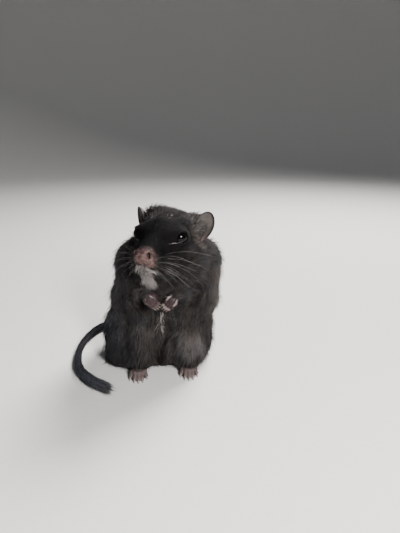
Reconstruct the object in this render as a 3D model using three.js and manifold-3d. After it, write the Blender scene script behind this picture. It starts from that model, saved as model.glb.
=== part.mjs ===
// A black Mongolian gerbil with a white chin, sitting up on its haunches with its hands together.
// It is life size, in millimetres, with +Z up and the floor at z = 0. The body faces -Y and the head
// is turned towards -X. The animal's left side is +X. The origin is on the flat under the pelvis.
// The solids reach out to the surface of the coat.

import * as THREE from "three";
import { mergeVertices } from "three/addons/utils/BufferGeometryUtils.js";
import Module from "manifold-3d";

const wasm = await Module();
wasm.setup();

// Driving sizes

const GAP = 0.3; // between neighbouring pieces
const HIP_WIDTH = 50;
const BELLY_WIDTH = 58;
const CHEST_WIDTH = 51;
const BODY_TURN = 6; // degrees, of the trunk towards the animal's left
const LEAN = 7.6; // how far the spine leans to the left above the haunches
const LEAN_FROM = 4;
const LEAN_TO = 46;
const KNEE_MIDDLE = 3.2; // how far to the left the middle between the knees lies
const KNEE_SPREAD = 12.2;
const KNEE_HEIGHT = 15;
const FURROW_DEPTH = 3; // of the furrow between the knees
const FURROW_HALF_WIDTH = 4.5;
const SKULL_LENGTH = 42; // nose tip to the back of the head
const SKULL_WIDTH = 25.5;
const SKULL_HEIGHT = 22;
const HEAD_CENTRE = [9.6, -19, 68.3];
const HEAD_YAW = -22;
const HEAD_PITCH = 2;
const HEAD_ROLL = 0;
const EYE_RADIUS = 3.4;
const EYE_SINK = 2.3; // how deep the middle of the eye lies under the skin
const EYE_OPEN = [2.95, 2.15]; // half the width and half the height between the lids
const LID = 0.85;
const LID_FLATNESS = 2.8; // how much wider than thick a lid's rim is
const EAR_LENGTH = 17;
const EAR_WIDTH = 9.2;
const EAR_PLACE = [14.2, 6.6, 5.4];
const EAR_GAZE = [0.64, -0.77];
const EAR_SPREAD = 0.45; // radians, outwards from upright
const TAIL_ROOT_RADIUS = 3.6;
const TAIL_END_RADIUS = 1.9;
const BRUSH_FROM = 0.73; // shares of the tail's length
const BRUSH_TO = 0.97;
const BRUSH_RINGS = 4;
const BRUSH_LOCKS = 4; // in each ring
const BRUSH_LENGTH = 11;

// Small tools

const vec = (x, y, z) => new THREE.Vector3(x, y, z);
const mix = THREE.MathUtils.lerp;
const smooth = THREE.MathUtils.smoothstep;
const SIDES = { left: 1, right: -1 };

function turned(x, y, z) {
  const angles = [x, y, z].map(THREE.MathUtils.degToRad);
  return new THREE.Quaternion().setFromEuler(new THREE.Euler(...angles, "ZXY"));
}

// A turn that brings +z onto a direction and keeps +y as upright as it can be.
function facing(direction) {
  const across = vec(0, 0, 1).cross(direction).normalize();
  const upright = direction.clone().cross(across).normalize();
  return new THREE.Matrix4().makeBasis(across, upright, direction.clone().normalize());
}

// A place on the trunk, which leans and is turned.
const trunkTurn = turned(0, 0, BODY_TURN);
function onTrunk(x, y, z) {
  return vec(x + LEAN * smooth(z, LEAN_FROM, LEAN_TO), y, z).applyQuaternion(trunkTurn);
}

const headTurn = turned(HEAD_PITCH, HEAD_ROLL, HEAD_YAW);
const headFrame = new THREE.Matrix4().compose(vec(...HEAD_CENTRE), headTurn, vec(1, 1, 1));
const onHead = (x, y, z) => vec(x, y, z).applyMatrix4(headFrame);

// Masses: each gives the distance of a point from its surface, negative inside

function ball(centre, radii, turn = new THREE.Quaternion()) {
  const back = turn.clone().invert();
  const [a, b, c] = radii;
  const q = vec(0, 0, 0);
  return (p) => {
    q.copy(p).sub(centre).applyQuaternion(back);
    const reach = Math.hypot(q.x / a, q.y / b, q.z / c);
    const slope = Math.hypot(q.x / (a * a), q.y / (b * b), q.z / (c * c));
    return slope < 1e-9 ? -Math.min(a, b, c) : (reach * (reach - 1)) / slope;
  };
}

function limb(from, to, startRadius, endRadius) {
  const along = to.clone().sub(from);
  const q = vec(0, 0, 0);
  return (p) => {
    q.copy(p).sub(from);
    const share = THREE.MathUtils.clamp(q.dot(along) / along.lengthSq(), 0, 1);
    return q.addScaledVector(along, -share).length() - mix(startRadius, endRadius, share);
  };
}

// One mass from several that run into each other over a width of k.
function melt(k, ...masses) {
  return (p) =>
    masses.reduce((near, mass) => {
      const next = mass(p);
      const overlap = Math.max(k - Math.abs(near - next), 0) / k;
      return Math.min(near, next) - (overlap * overlap * k) / 4;
    }, 1e3);
}

// A ball of triangles whose points are pushed out along their rays, which start on a short spine,
// to where the mass's surface is, or a surface that lies `grow` outside it.
function wrapped(mass, centre, spine, detail, grow = 0) {
  const geometry = bare(new THREE.IcosahedronGeometry(1, detail));
  const place = geometry.attributes.position;
  const longest = spine.length();
  const axis = spine.clone().normalize();
  const ray = vec(0, 0, 0);
  const start = vec(0, 0, 0);
  const at = vec(0, 0, 0);
  const reach = 90;
  const stride = 0.5;
  const halvings = 18;
  for (let i = 0; i < place.count; i++) {
    ray.fromBufferAttribute(place, i).normalize();
    start.copy(centre).addScaledVector(axis, longest * ray.dot(axis));
    let inside = 0;
    let outside = reach;
    for (let t = 0; t < reach; t += stride) {
      if (mass(at.copy(start).addScaledVector(ray, t)) > grow) {
        outside = t;
        break;
      }
      inside = t;
    }
    for (let step = 0; step < halvings; step++) {
      const middle = (inside + outside) / 2;
      if (mass(at.copy(start).addScaledVector(ray, middle)) > grow) outside = middle;
      else inside = middle;
    }
    at.copy(start).addScaledVector(ray, inside);
    place.setXYZ(i, at.x, at.y, at.z);
  }
  return geometry;
}

// A geometry with places only, its shared points merged.
function bare(geometry) {
  for (const name of ["normal", "uv"]) geometry.deleteAttribute(name);
  return mergeVertices(geometry, 1e-4);
}

// A round body of changing thickness along a curve: a lathe bent onto it. `stations` are pairs of
// a share of the length and a radius, `up` sets its wide side, and `flat` is depth over width.
function bent(curve, stations, { sides = 8, flat = 1, up = vec(0, 0, 1), grow = 0 } = {}) {
  const first = stations[0][0];
  const last = stations.at(-1)[0];
  const profile = [new THREE.Vector2(0, first)];
  for (const [share, radius] of stations) profile.push(new THREE.Vector2(radius + grow, share));
  profile.push(new THREE.Vector2(0, last));
  const geometry = bare(new THREE.LatheGeometry(profile, sides));
  const place = geometry.attributes.position;
  const length = curve.getLength();
  for (let i = 0; i < place.count; i++) {
    const [x, share, z] = [place.getX(i), place.getY(i), place.getZ(i)];
    const on = THREE.MathUtils.clamp(share, 0, 1);
    const tangent = curve.getTangentAt(on).normalize();
    const wide = vec(0, 0, 0).crossVectors(tangent, up).normalize();
    const deep = vec(0, 0, 0).crossVectors(wide, tangent).normalize();
    const end = share === first ? -grow : share === last ? grow : 0;
    const at = curve.getPointAt(on).addScaledVector(tangent, (share - on) * length + end);
    at.addScaledVector(wide, x).addScaledVector(deep, z * flat);
    place.setXYZ(i, at.x, at.y, at.z);
  }
  return outward(geometry);
}

// The same surface with its faces pointing out.
function outward(geometry) {
  const place = geometry.attributes.position;
  const index = geometry.index.array;
  const corner = [vec(0, 0, 0), vec(0, 0, 0), vec(0, 0, 0)];
  let volume = 0;
  for (let i = 0; i < index.length; i += 3) {
    corner.forEach((c, j) => c.fromBufferAttribute(place, index[i + j]));
    volume += corner[0].dot(corner[1].cross(corner[2]));
  }
  if (volume < 0) {
    for (let i = 0; i < index.length; i += 3) {
      [index[i + 1], index[i + 2]] = [index[i + 2], index[i + 1]];
    }
  }
  return geometry;
}

// Solids: joining and cutting

function solid(geometry) {
  const merged = mergeVertices(geometry, 1e-4);
  const triVerts = new Uint32Array(merged.index.array);
  const vertProperties = new Float32Array(merged.attributes.position.array);
  return new wasm.Manifold(new wasm.Mesh({ numProp: 3, vertProperties, triVerts }));
}

const joined = (...solids) => solids.reduce((a, b) => a.add(b));
const cut = (whole, ...cutters) => cutters.reduce((a, b) => a.subtract(b), whole);

// The largest closed body of a solid, as a geometry.
function largest(made) {
  const biggest = made.decompose().sort((a, b) => b.volume() - a.volume())[0];
  const mesh = biggest.getMesh();
  const geometry = new THREE.BufferGeometry();
  const place = new Float32Array(mesh.numVert * 3);
  for (let i = 0; i < mesh.numVert; i++) {
    const from = i * mesh.numProp;
    place.set(mesh.vertProperties.subarray(from, from + 3), i * 3);
  }
  geometry.setAttribute("position", new THREE.BufferAttribute(place, 3));
  geometry.setIndex(new THREE.BufferAttribute(new Uint32Array(mesh.triVerts), 1));
  return geometry;
}

// The trunk: pelvis, belly, chest, back, shoulders, haunches and upper arms as one smooth mass

function trunkMass() {
  const masses = [
    ball(onTrunk(0, 0, 17), [HIP_WIDTH / 2, 19, 18], trunkTurn),
    ball(onTrunk(3, -15, 11), [15, 12.5, 12], trunkTurn),
    ball(onTrunk(-1, -6, 34), [BELLY_WIDTH / 2 - 1, 21.5, 19], trunkTurn),
    ball(onTrunk(0, -7.5, 49), [CHEST_WIDTH / 2, 17.5, 17], trunkTurn),
    ball(onTrunk(0, -6, 58), [CHEST_WIDTH / 2 - 3.5, 14.5, 12], trunkTurn),
  ];
  const breast = melt(
    4,
    ball(onTrunk(-1, -23, 54.5), [12, 11, 7.5], trunkTurn),
    ball(onTrunk(-1.5, -21.5, 42.5), [17, 10.5, 9], trunkTurn),
  );
  const neck = melt(
    6,
    limb(onTrunk(0, -3, 61), onHead(-4, 9.5, 0), 13, 11.4),
    ball(onHead(9.5, 3, -13), [9, 11, 12], headTurn),
    ball(onHead(-5, -9, -16.5), [9, 8, 7], headTurn),
  );
  const arms = Object.values(SIDES).map(upperArmMass);
  const haunches = Object.values(SIDES).map(haunchMass);
  return melt(4.5, melt(7, melt(7, ...masses, neck, breast), ...arms), ...haunches);
}

const kneeAcross = (side) => KNEE_MIDDLE + side * KNEE_SPREAD;

function haunchMass(side) {
  const turn = trunkTurn.clone().multiply(turned(18, 0, side * 6));
  const across = kneeAcross(side);
  const high = KNEE_HEIGHT - side * 2;
  const thigh = ball(onTrunk(side * 17, -7, 16.5), [12, 18.5, 15.5], turn);
  const hip = ball(onTrunk(side * 18, -8, 8), [11, 15, 10], trunkTurn);
  const knee = ball(onTrunk(across, -22.5, high), [8, 9.5, 9 + high * 0.2], trunkTurn);
  const groin = ball(onTrunk(across - side, -19, high + 5), [7.4, 8, 11], trunkTurn);
  const shank = limb(onTrunk(across, -22, 8), onTrunk(side * 18, -12, 7), 8.2, 8.4);
  return melt(4, thigh, hip, knee, groin, shank);
}

function upperArmMass(side) {
  return limb(onTrunk(side * 17.5, -11, 54), onTrunk(side * 18.6, -18, 40), 8.6, 6.6);
}

// The head, in its own frame: the nose points to -y

const NOSE_TIP = -0.64 * SKULL_LENGTH;
const SNOUT = NOSE_TIP + 6;
const EYE_PLACE = [0.26 * SKULL_WIDTH, -6.5, 2.4];
const EYE_GAZE = [0.8, -0.56, 0.22];

function headMass() {
  const half = SKULL_WIDTH / 2;
  const high = SKULL_HEIGHT / 2;
  const masses = [
    ball(vec(0, 3, 0), [half + 0.4, 13.2, high - 1]),
    ball(vec(0, -4, 2.6), [half - 2.6, 10.5, high - 3.2]),
    limb(vec(0, -7, -1), vec(0, SNOUT + 0.6, -3.2), 9.6, 5),
    limb(vec(0, -7, 3.8), vec(0, SNOUT - 1.4, -0.9), 6.4, 3.2),
    ball(vec(0, -10, -9), [8, 9, 6.6]),
  ];
  for (const side of Object.values(SIDES)) {
    masses.push(ball(vec(side * 7, 4, 2.6), [half - 6.2, 12, high - 2.5]));
    masses.push(ball(vec(side * 10, 5.5, 4.9), [4.6, 5.8, 5.3]));
    masses.push(ball(vec(side * 8.2, -3, -5.5), [6.8, 10, 9.3]));
    masses.push(ball(vec(side * 6.6, -7.6, 2.8), [4.8, 6.4, 5.4]));
    masses.push(ball(vec(side * 3.3, SNOUT + 1.6, -5.4), [3.5, 5.2, 3.6]));
  }
  const nose = ball(vec(0, NOSE_TIP + 2.6, -1.8), [4.7, 3, 3.3]);
  const chin = ball(vec(0, SNOUT + 3, -9.3), [3.2, 5, 2.8]);
  return melt(1.6, melt(4, ...masses), nose, chin);
}

// The whole skin is one mass: the trunk, and the head that runs into it at the neck

const trunk = trunkMass();
const head = headMass();
const toHead = headFrame.clone().invert();

function wholeMass() {
  const q = vec(0, 0, 0);
  const joinedUp = melt(6, trunk, (p) => head(q.copy(p).applyMatrix4(toHead)));
  const furrow = limb(onTrunk(0.4, -31, 30), onTrunk(0.6, -32, 4), 0, 0);
  return (p) => joinedUp(p) + FURROW_DEPTH * (1 - smooth(furrow(p), 0, FURROW_HALF_WIDTH));
}

const whole = wholeMass();
const wholeFromTrunk = (grow = 0) =>
  solid(wrapped(whole, onTrunk(0, -4, 34), vec(LEAN / 2, -4, 16), 8, grow));
const wholeFromHead = (grow = 0) => {
  const axis = vec(0, -11, 0).applyQuaternion(headTurn);
  return solid(wrapped(whole, onHead(0, -6, -1), axis, 9, grow));
};

// The groove from the nose down to the mouth.
function philtrum() {
  const groove = bare(new THREE.CylinderGeometry(0.35, 0.35, 4.6, 6)).rotateX(Math.PI / 2 + 0.1);
  const front = onSkin(vec(0, SNOUT, -5.4), vec(0, -1, 0));
  return solid(groove.translate(0, front.y - 0.05, -5.2).applyMatrix4(headFrame));
}

// A point on the head's own surface, straight out from a point inside it, in the head's frame.
function onSkin(from, direction) {
  const ray = direction.clone().normalize();
  const at = from.clone();
  for (let step = 0; step < 80; step++) at.addScaledVector(ray, -head(at) * 0.7);
  return at;
}

function eyePlace(side) {
  const gaze = vec(side * EYE_GAZE[0], EYE_GAZE[1], EYE_GAZE[2]).normalize();
  const centre = onSkin(vec(side * EYE_PLACE[0], EYE_PLACE[1], EYE_PLACE[2]), gaze);
  return { gaze, centre: centre.addScaledVector(gaze, -EYE_SINK) };
}

function eyeBall(side, grow = 0) {
  const { centre } = eyePlace(side);
  const geometry = bare(new THREE.IcosahedronGeometry(EYE_RADIUS + grow, 3));
  return solid(geometry.translate(...centre).applyMatrix4(headFrame));
}

// The rim of both lids: an oval ring that lies on the ball of the eye.
function lids(side) {
  const { gaze, centre } = eyePlace(side);
  const rim = bare(new THREE.TorusGeometry(1, LID / LID_FLATNESS, 6, 18));
  const place = rim.attributes.position;
  for (let i = 0; i < place.count; i++) {
    const x = place.getX(i) * (EYE_OPEN[0] + LID);
    const y = place.getY(i) * (EYE_OPEN[1] + LID);
    const dome = Math.sqrt(Math.max(EYE_RADIUS ** 2 - x * x - y * y, 0.8));
    place.setXYZ(i, x, y, place.getZ(i) * LID_FLATNESS + dome);
  }
  rim.applyMatrix4(facing(gaze)).translate(...centre);
  return solid(rim.applyMatrix4(headFrame));
}

const NOSTRIL = [2.7, NOSE_TIP + 1.2, -1.2];
const NOSTRIL_RADII = [0.6, 1.5, 0.9];
const NOSTRIL_TURN = 0.6; // radians, outwards

function nostril(side) {
  const hole = bare(new THREE.SphereGeometry(1, 8, 6)).scale(...NOSTRIL_RADII);
  hole.rotateZ(side * NOSTRIL_TURN).translate(side * NOSTRIL[0], NOSTRIL[1], NOSTRIL[2]);
  return solid(hole.applyMatrix4(headFrame));
}

// The line of the mouth, from corner to corner under the nose.
const MOUTH_HEIGHT = -8;
const MOUTH_RISE = 1.1; // of its corners over its middle
const MOUTH_CORNER = SNOUT + 5.5;
const CHIN_BOTTOM = -13.2;

function mouthLine(steps = 12) {
  const points = [];
  for (let i = 0; i <= steps; i++) {
    const share = (2 * i) / steps - 1;
    const angle = (share * Math.PI) / 2;
    const inner = vec(0, MOUTH_CORNER, MOUTH_HEIGHT + MOUTH_RISE * Math.abs(share));
    points.push(onSkin(inner, vec(Math.sin(angle), -Math.cos(angle), 0)));
  }
  return new THREE.CatmullRomCurve3(points);
}

function lip(rise) {
  const line = mouthLine();
  line.points.forEach((p) => (p.z += rise));
  const stations = [0, 0.2, 0.5, 0.8, 1].map((t) => [t, 0.2 + 0.45 * Math.sin(Math.PI * t)]);
  return solid(bent(line, stations, { sides: 6, up: vec(0, 0, 1) }).applyMatrix4(headFrame));
}

// The part of the head under the line of the mouth: an outline from the side, as wide as the chin.
const CHIN_WIDTH = 9;
function jawBlock(grow = 0) {
  const side = new THREE.Shape();
  const front = NOSE_TIP - 4;
  const corner = MOUTH_CORNER + grow;
  side.moveTo(front, MOUTH_HEIGHT + grow);
  side.lineTo(SNOUT + 1, MOUTH_HEIGHT + grow);
  side.quadraticCurveTo(MOUTH_CORNER, MOUTH_HEIGHT + 0.3 + grow, corner + 1, -7 + grow);
  side.lineTo(corner + 5, -9);
  side.lineTo(corner + 4, CHIN_BOTTOM - grow);
  side.lineTo(front, CHIN_BOTTOM - grow);
  const width = CHIN_WIDTH + 2 * grow;
  const block = new THREE.ExtrudeGeometry(side, { depth: width, bevelEnabled: false, curveSegments: 6 });
  block.translate(0, 0, -width / 2).rotateZ(Math.PI / 2).rotateY(Math.PI / 2);
  return solid(outward(bare(block)).applyMatrix4(headFrame));
}

// A scoop, narrow at its root, that opens forwards and outwards.
function ear(side) {
  const geometry = bare(new THREE.SphereGeometry(1, 18, 12));
  const place = geometry.attributes.position;
  for (let i = 0; i < place.count; i++) {
    const [x, y, z] = [place.getX(i), place.getY(i), place.getZ(i)];
    const wide = (EAR_WIDTH / 2) * (1 + 0.3 * y - 0.16 * y * y);
    const cup = 2.4 * x * x * (1.3 - 0.6 * y) + 1.6 * y * y * (y > 0 ? 0.6 : 1);
    const thick = 0.7 * Math.sign(z) * Math.abs(z) ** 0.5;
    place.setXYZ(i, x * wide, (y * EAR_LENGTH) / 2, thick + cup);
  }
  geometry.applyMatrix4(facing(vec(side * EAR_GAZE[0], EAR_GAZE[1], 0)));
  geometry.rotateY(side * EAR_SPREAD).translate(side * EAR_PLACE[0], EAR_PLACE[1], EAR_PLACE[2]);
  return solid(outward(geometry).applyMatrix4(headFrame));
}

// Fore limbs

const elbow = (side) => onTrunk(side * 18, -13, 38);
const wrist = (side) => onTrunk(side * 6.6 - 4.7, -34.2, 44.3 - side * 0.45);

function forearm(side, grow = 0) {
  const bend = onTrunk(side * 13.5 - 2, -25, 42);
  const curve = new THREE.CatmullRomCurve3([elbow(side), bend, wrist(side)]);
  const stations = [[0, 2.4], [0.12, 4.4], [0.35, 4.7], [0.65, 3.9], [0.92, 2.8], [1, 1.9]];
  return solid(bent(curve, stations, { sides: 10, grow }));
}

// A finger or toe with its claw: a chain of a knuckle, a pad and a curved claw.
function digit(root, tip, droop, radius, claw, grow = 0) {
  const middle = root.clone().lerp(tip, 0.55).addScaledVector(droop, -radius * 0.9);
  const curve = new THREE.QuadraticBezierCurve3(root, middle, tip);
  const flesh = [[0, 0.8], [0.45, 1], [0.66, 0.84], [0.88, 0.95], [1, 0.45]];
  const finger = bent(curve, flesh.map(([t, r]) => [t, r * radius]), { sides: 6, up: droop, grow });
  const ahead = tip.clone().sub(middle).normalize();
  const from = tip.clone().addScaledVector(ahead, -radius * 0.7).addScaledVector(droop, -radius * 0.25);
  const over = from.clone().addScaledVector(ahead, claw * 0.75).addScaledVector(droop, -claw * 0.05);
  const point = from.clone().addScaledVector(ahead, claw * 1.15).addScaledVector(droop, claw * 0.5);
  const hook = new THREE.QuadraticBezierCurve3(from, over, point);
  const horn = [[0, 0.44], [0.6, 0.34], [1, 0.08]].map(([t, r]) => [t, r * radius * 1.1]);
  return solid(finger).add(solid(bent(hook, horn, { sides: 4, up: droop, grow })));
}

function hand(side, grow = 0) {
  const root = wrist(side);
  const reach = vec(-side * 0.66, -0.3, -0.68).normalize().applyQuaternion(trunkTurn);
  const back = vec(side * 0.2, -0.88, 0.42).applyQuaternion(trunkTurn);
  back.addScaledVector(reach, -back.dot(reach)).normalize();
  const across = vec(0, 0, 0).crossVectors(reach, back).multiplyScalar(side);
  const at = (u, v, w) =>
    root.clone().addScaledVector(reach, u).addScaledVector(across, v).addScaledVector(back, w);
  const palmLine = new THREE.CatmullRomCurve3([at(-0.8, 0, 0), at(1.6, 0, 0.3), at(3.9, 0, 0)]);
  const palm = [[0, 1.7], [0.25, 2.4], [0.6, 3], [0.9, 2.7], [1, 1.6]];
  let made = solid(bent(palmLine, palm, { sides: 10, flat: 0.62, up: back, grow }));
  const droop = back.clone().negate();
  for (let finger = 0; finger < 4; finger++) {
    const spread = finger - 1.5;
    const long = 4 - 0.3 * spread * spread;
    const from = at(3.1, spread * 1.3, 0.4);
    const to = at(3.3 + long * 0.8, spread * 1.05, -1.5);
    made = made.add(digit(from, to, droop, 0.82, 1.9, grow));
  }
  return made;
}

// Hind limbs

function foot(side, grow = 0) {
  const heel = onTrunk(kneeAcross(side) + side * 1.5, -5, 2.3);
  const ballOfFoot = onTrunk(kneeAcross(side) + side * 0.5, -27.5, 2);
  const forward = ballOfFoot.clone().sub(heel).normalize();
  const across = vec(-forward.y, forward.x, 0).normalize();
  const arch = heel.clone().lerp(ballOfFoot, 0.5).add(vec(0, 0, 0.6));
  const sole = new THREE.CatmullRomCurve3([heel, arch, ballOfFoot]);
  const stations = [[0, 1.9], [0.1, 2.8], [0.6, 3.5], [0.93, 3.7], [1, 2.5]];
  let made = solid(bent(sole, stations, { sides: 10, flat: 0.72, grow }));
  for (let toe = 0; toe < 5; toe++) {
    const spread = toe - 2;
    const long = 7.4 - 0.75 * spread * spread;
    const from = ballOfFoot.clone().addScaledVector(across, spread * 1.25).addScaledVector(forward, -1);
    const to = ballOfFoot.clone().addScaledVector(across, spread * 1.95).addScaledVector(forward, long);
    to.z = 1.05;
    made = made.add(digit(from, to, vec(0, 0, -1), 1.1, 2.4, grow));
  }
  return made;
}

const thighRegion = (side, grow = 0) => {
  const turn = trunkTurn.clone().multiply(turned(18, 0, side * 6));
  const mass = ball(onTrunk(side * 20, -7, 18.5), [14, 20.5, 15], turn);
  return solid(wrapped(mass, onTrunk(side * 20, -7, 18.5), vec(0, 5, 0), 3, grow));
};

const shankRegion = (side, grow = 0) => {
  const middle = onTrunk(kneeAcross(side) + side, -24, 5);
  const mass = ball(middle, [9.5, 13, 9.5], trunkTurn);
  return solid(wrapped(mass, middle, vec(0, 2, 0), 3, grow));
};

const upperArmRegion = (side, grow = 0) => {
  const turn = trunkTurn.clone().multiply(turned(22, side * 12, 0));
  const mass = ball(onTrunk(side * 21, -14, 46), [8.5, 8.5, 14], turn);
  return solid(wrapped(mass, onTrunk(side * 21, -14, 46), vec(0, 0, 4), 3, grow));
};

// All that lies in front of a slanting plane through the nape and the throat.
const NAPE_SLANT = 0.72; // radians
const BREAST_SLANT = 0.4;
const headRegion = (grow = 0) => {
  const block = bare(new THREE.BoxGeometry(33 + 2 * grow, 80, 60)).translate(0, 0, 30 - grow);
  block.rotateX(NAPE_SLANT).translate(0, -6, -10.5);
  return solid(block.applyMatrix4(headFrame));
};

// All that lies above a plane from the breast to the shoulders.
const neckRegion = (grow = 0) => {
  const block = bare(new THREE.BoxGeometry(120, 120, 60)).translate(0, 0, 30 - grow);
  block.rotateX(BREAST_SLANT).applyQuaternion(trunkTurn).translate(...onTrunk(0, -10, 56));
  return solid(block);
};

// The tail: out of the rump, round the right side of the body on the floor, its brush in front

const TAIL_ROUTE = [
  onTrunk(0, 9, 9),
  onTrunk(0, 17, 6.5),
  vec(-8, 25, 3.6),
  vec(-23, 27, 3),
  vec(-36, 18.5, 2.8),
  vec(-41.5, 2, 2.6),
  vec(-41, -13, 2.4),
  vec(-36.5, -27, 2.3),
  vec(-29.5, -36, 2.3),
  vec(-22.5, -41.5, 2.4),
];
const TAIL_ROUNDS = 28;
const tailCurve = new THREE.CatmullRomCurve3(TAIL_ROUTE);
const tailRadius = (share) => mix(TAIL_ROOT_RADIUS, TAIL_END_RADIUS, share ** 0.6);

function tail(from, to, grow = 0) {
  const stations = [];
  const steps = Math.round(TAIL_ROUNDS * (to - from));
  for (let i = 0; i <= steps; i++) {
    const share = mix(from, to, i / steps);
    stations.push([share, (share > 0.99 ? 0.4 : 1) * tailRadius(share)]);
  }
  return solid(bent(tailCurve, stations, { sides: 8, grow }));
}

// The brush: rings of flat, pointed locks with their roots in the tail, longest near its end.
function brush() {
  const locks = [];
  for (let ring = 0; ring < BRUSH_RINGS; ring++) {
    const share = mix(BRUSH_FROM, BRUSH_TO, ring / (BRUSH_RINGS - 1));
    const tangent = tailCurve.getTangentAt(share).normalize();
    const wide = vec(0, 0, 0).crossVectors(tangent, vec(0, 0, 1)).normalize();
    const deep = vec(0, 0, 0).crossVectors(wide, tangent).normalize();
    const root = tailCurve.getPointAt(share);
    const long = mix(8, BRUSH_LENGTH, ring / (BRUSH_RINGS - 1));
    for (let lock = 0; lock < BRUSH_LOCKS; lock++) {
      const angle = ((lock + 0.5 * (ring % 2) + 0.25) / BRUSH_LOCKS) * 2 * Math.PI;
      const out = wide.clone().multiplyScalar(Math.cos(angle)).addScaledVector(deep, Math.sin(angle));
      const at = (along, away) => root.clone().addScaledVector(tangent, along).addScaledVector(out, away);
      const r = tailRadius(share);
      const bow = [at(0, r * 0.45), at(long * 0.5, r + 0.7), at(long, r * 0.9)];
      const curve = new THREE.QuadraticBezierCurve3(...bow);
      const stations = [[0, 0.9], [0.4, 1.25], [0.75, 0.85], [1, 0.15]];
      locks.push(solid(bent(curve, stations, { sides: 4, flat: 0.5, up: out })));
    }
  }
  return joined(...locks);
}

// Materials

function coat(colour) {
  return new THREE.MeshStandardMaterial({ color: colour, roughness: 0.62, metalness: 0 });
}

const MATERIALS = {
  coat: coat(0x242122),
  tail: coat(0x1c1a1b),
  ear: new THREE.MeshStandardMaterial({ color: 0x6b5a55, roughness: 0.6, metalness: 0 }),
  eye: new THREE.MeshStandardMaterial({ color: 0x070606, roughness: 0.06, metalness: 0 }),
  chin: coat(0xcfc4c0),
  hand: new THREE.MeshStandardMaterial({ color: 0xa08c88, roughness: 0.55, metalness: 0 }),
};

// Assembly: each piece is cut clear of those before it

const FLOOR = solid(bare(new THREE.BoxGeometry(300, 300, 60)).translate(0, 0, -30));
const gerbil = new THREE.Group();
const taken = [];

function place(name, material, made, ...keptClear) {
  const clear = cut(made, ...taken, FLOOR);
  const mesh = new THREE.Mesh(largest(clear), MATERIALS[material]);
  mesh.name = name;
  gerbil.add(mesh);
  taken.push(...keptClear);
}

for (const [name, side] of Object.entries(SIDES)) {
  place("eye_" + name, "eye", eyeBall(side), eyeBall(side, GAP));
}

const skull = wholeFromHead().intersect(headRegion());
const skullGrown = wholeFromHead(GAP);
place("jaw", "chin", skull.intersect(jawBlock(0)));
const face = joined(skull, lids(1), lids(-1), lip(0.45));
place("head", "coat", cut(face, jawBlock(GAP), nostril(1), nostril(-1), philtrum()));

for (const [name, side] of Object.entries(SIDES)) {
  place("ear_" + name, "ear", ear(side).subtract(skullGrown), ear(side));
  place("hand_" + name, "hand", hand(side), hand(side, GAP));
}
for (const [name, side] of Object.entries(SIDES)) {
  place("forearm_" + name, "coat", forearm(side), forearm(side, GAP));
  place("foot_" + name, "coat", foot(side), foot(side, GAP));
}

taken.push(headRegion(GAP));
const body = wholeFromTrunk();
place("neck", "coat", body.intersect(neckRegion()), neckRegion(GAP));
for (const [name, side] of Object.entries(SIDES)) {
  place("upper_arm_" + name, "coat", body.intersect(upperArmRegion(side)), upperArmRegion(side, GAP));
  place("shank_" + name, "coat", body.intersect(shankRegion(side)), shankRegion(side, GAP));
  place("thigh_" + name, "coat", body.intersect(thighRegion(side)), thighRegion(side, GAP));
}
place("torso", "coat", body, wholeFromTrunk(GAP));

const TAIL_PARTS = { root: [0, 0.3], middle: [0.3, 0.66], end: [0.66, 1] };
for (const [name, [from, to]] of Object.entries(TAIL_PARTS)) {
  const late = to < 1 ? to - GAP / tailCurve.getLength() : to;
  const length = tail(from, late);
  place("tail_" + name, "tail", to < 1 ? length : joined(length, brush()), length);
}

export default gerbil;
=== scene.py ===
"""A black gerbil with a white chin, sitting up on its haunches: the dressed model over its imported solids.

Sizes are in millimetres until a mesh is made, in the frame of the solids: +Z up, the body faces -Y,
the head is turned towards -X, and the animal's left side is +X.
"""

import math

import bpy
import numpy as np
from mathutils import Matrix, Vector


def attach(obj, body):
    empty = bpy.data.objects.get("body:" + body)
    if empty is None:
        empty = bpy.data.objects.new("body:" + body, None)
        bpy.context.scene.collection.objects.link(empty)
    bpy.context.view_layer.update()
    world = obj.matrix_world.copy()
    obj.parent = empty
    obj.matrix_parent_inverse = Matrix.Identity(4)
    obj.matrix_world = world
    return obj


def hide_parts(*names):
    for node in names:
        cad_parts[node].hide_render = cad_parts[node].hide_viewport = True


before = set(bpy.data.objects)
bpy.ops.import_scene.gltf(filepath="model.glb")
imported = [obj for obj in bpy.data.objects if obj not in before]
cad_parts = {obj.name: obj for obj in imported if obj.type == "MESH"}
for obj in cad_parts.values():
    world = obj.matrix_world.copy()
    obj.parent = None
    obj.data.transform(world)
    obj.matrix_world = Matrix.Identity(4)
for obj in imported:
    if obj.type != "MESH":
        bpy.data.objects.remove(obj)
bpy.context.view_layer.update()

MM = 0.001
SIDES = {"left": 1, "right": -1}

# Driving sizes, the same as in the solids
HIP_WIDTH = 50
BELLY_WIDTH = 58
CHEST_WIDTH = 51
BODY_TURN = 6
LEAN = 7.6
LEAN_FROM = 4
LEAN_TO = 46
SKULL_LENGTH = 42
SKULL_WIDTH = 25.5
SKULL_HEIGHT = 22
HEAD_CENTRE = np.array([9.6, -19, 68.3])
HEAD_YAW = -22
HEAD_PITCH = 2
EYE_RADIUS = 3.4
EYE_SINK = 2.3
EYE_OPEN = (2.95, 2.15)
EAR_LENGTH = 17
EAR_WIDTH = 9.2
EAR_PLACE = (14.2, 6.6, 5.4)
EAR_GAZE = (0.64, -0.77)
EAR_SPREAD = 0.45
TAIL_ROOT_RADIUS = 3.6
TAIL_END_RADIUS = 1.9

# The coat: how deep the skin lies under it and how high over the floor, and the size of its hairs
BODY_DEPTH = 1.9
FACE_DEPTH = 0.6
ARM_DEPTH = 0.9
FLOOR_SKIN = 0.35
BODY_HAIR = 5.6
FACE_HAIR = 1.3
HAIR_WIDTH = 0.3
FINE_WIDTH = 0.17

random = np.random.default_rng(11)


# Small tools

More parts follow.
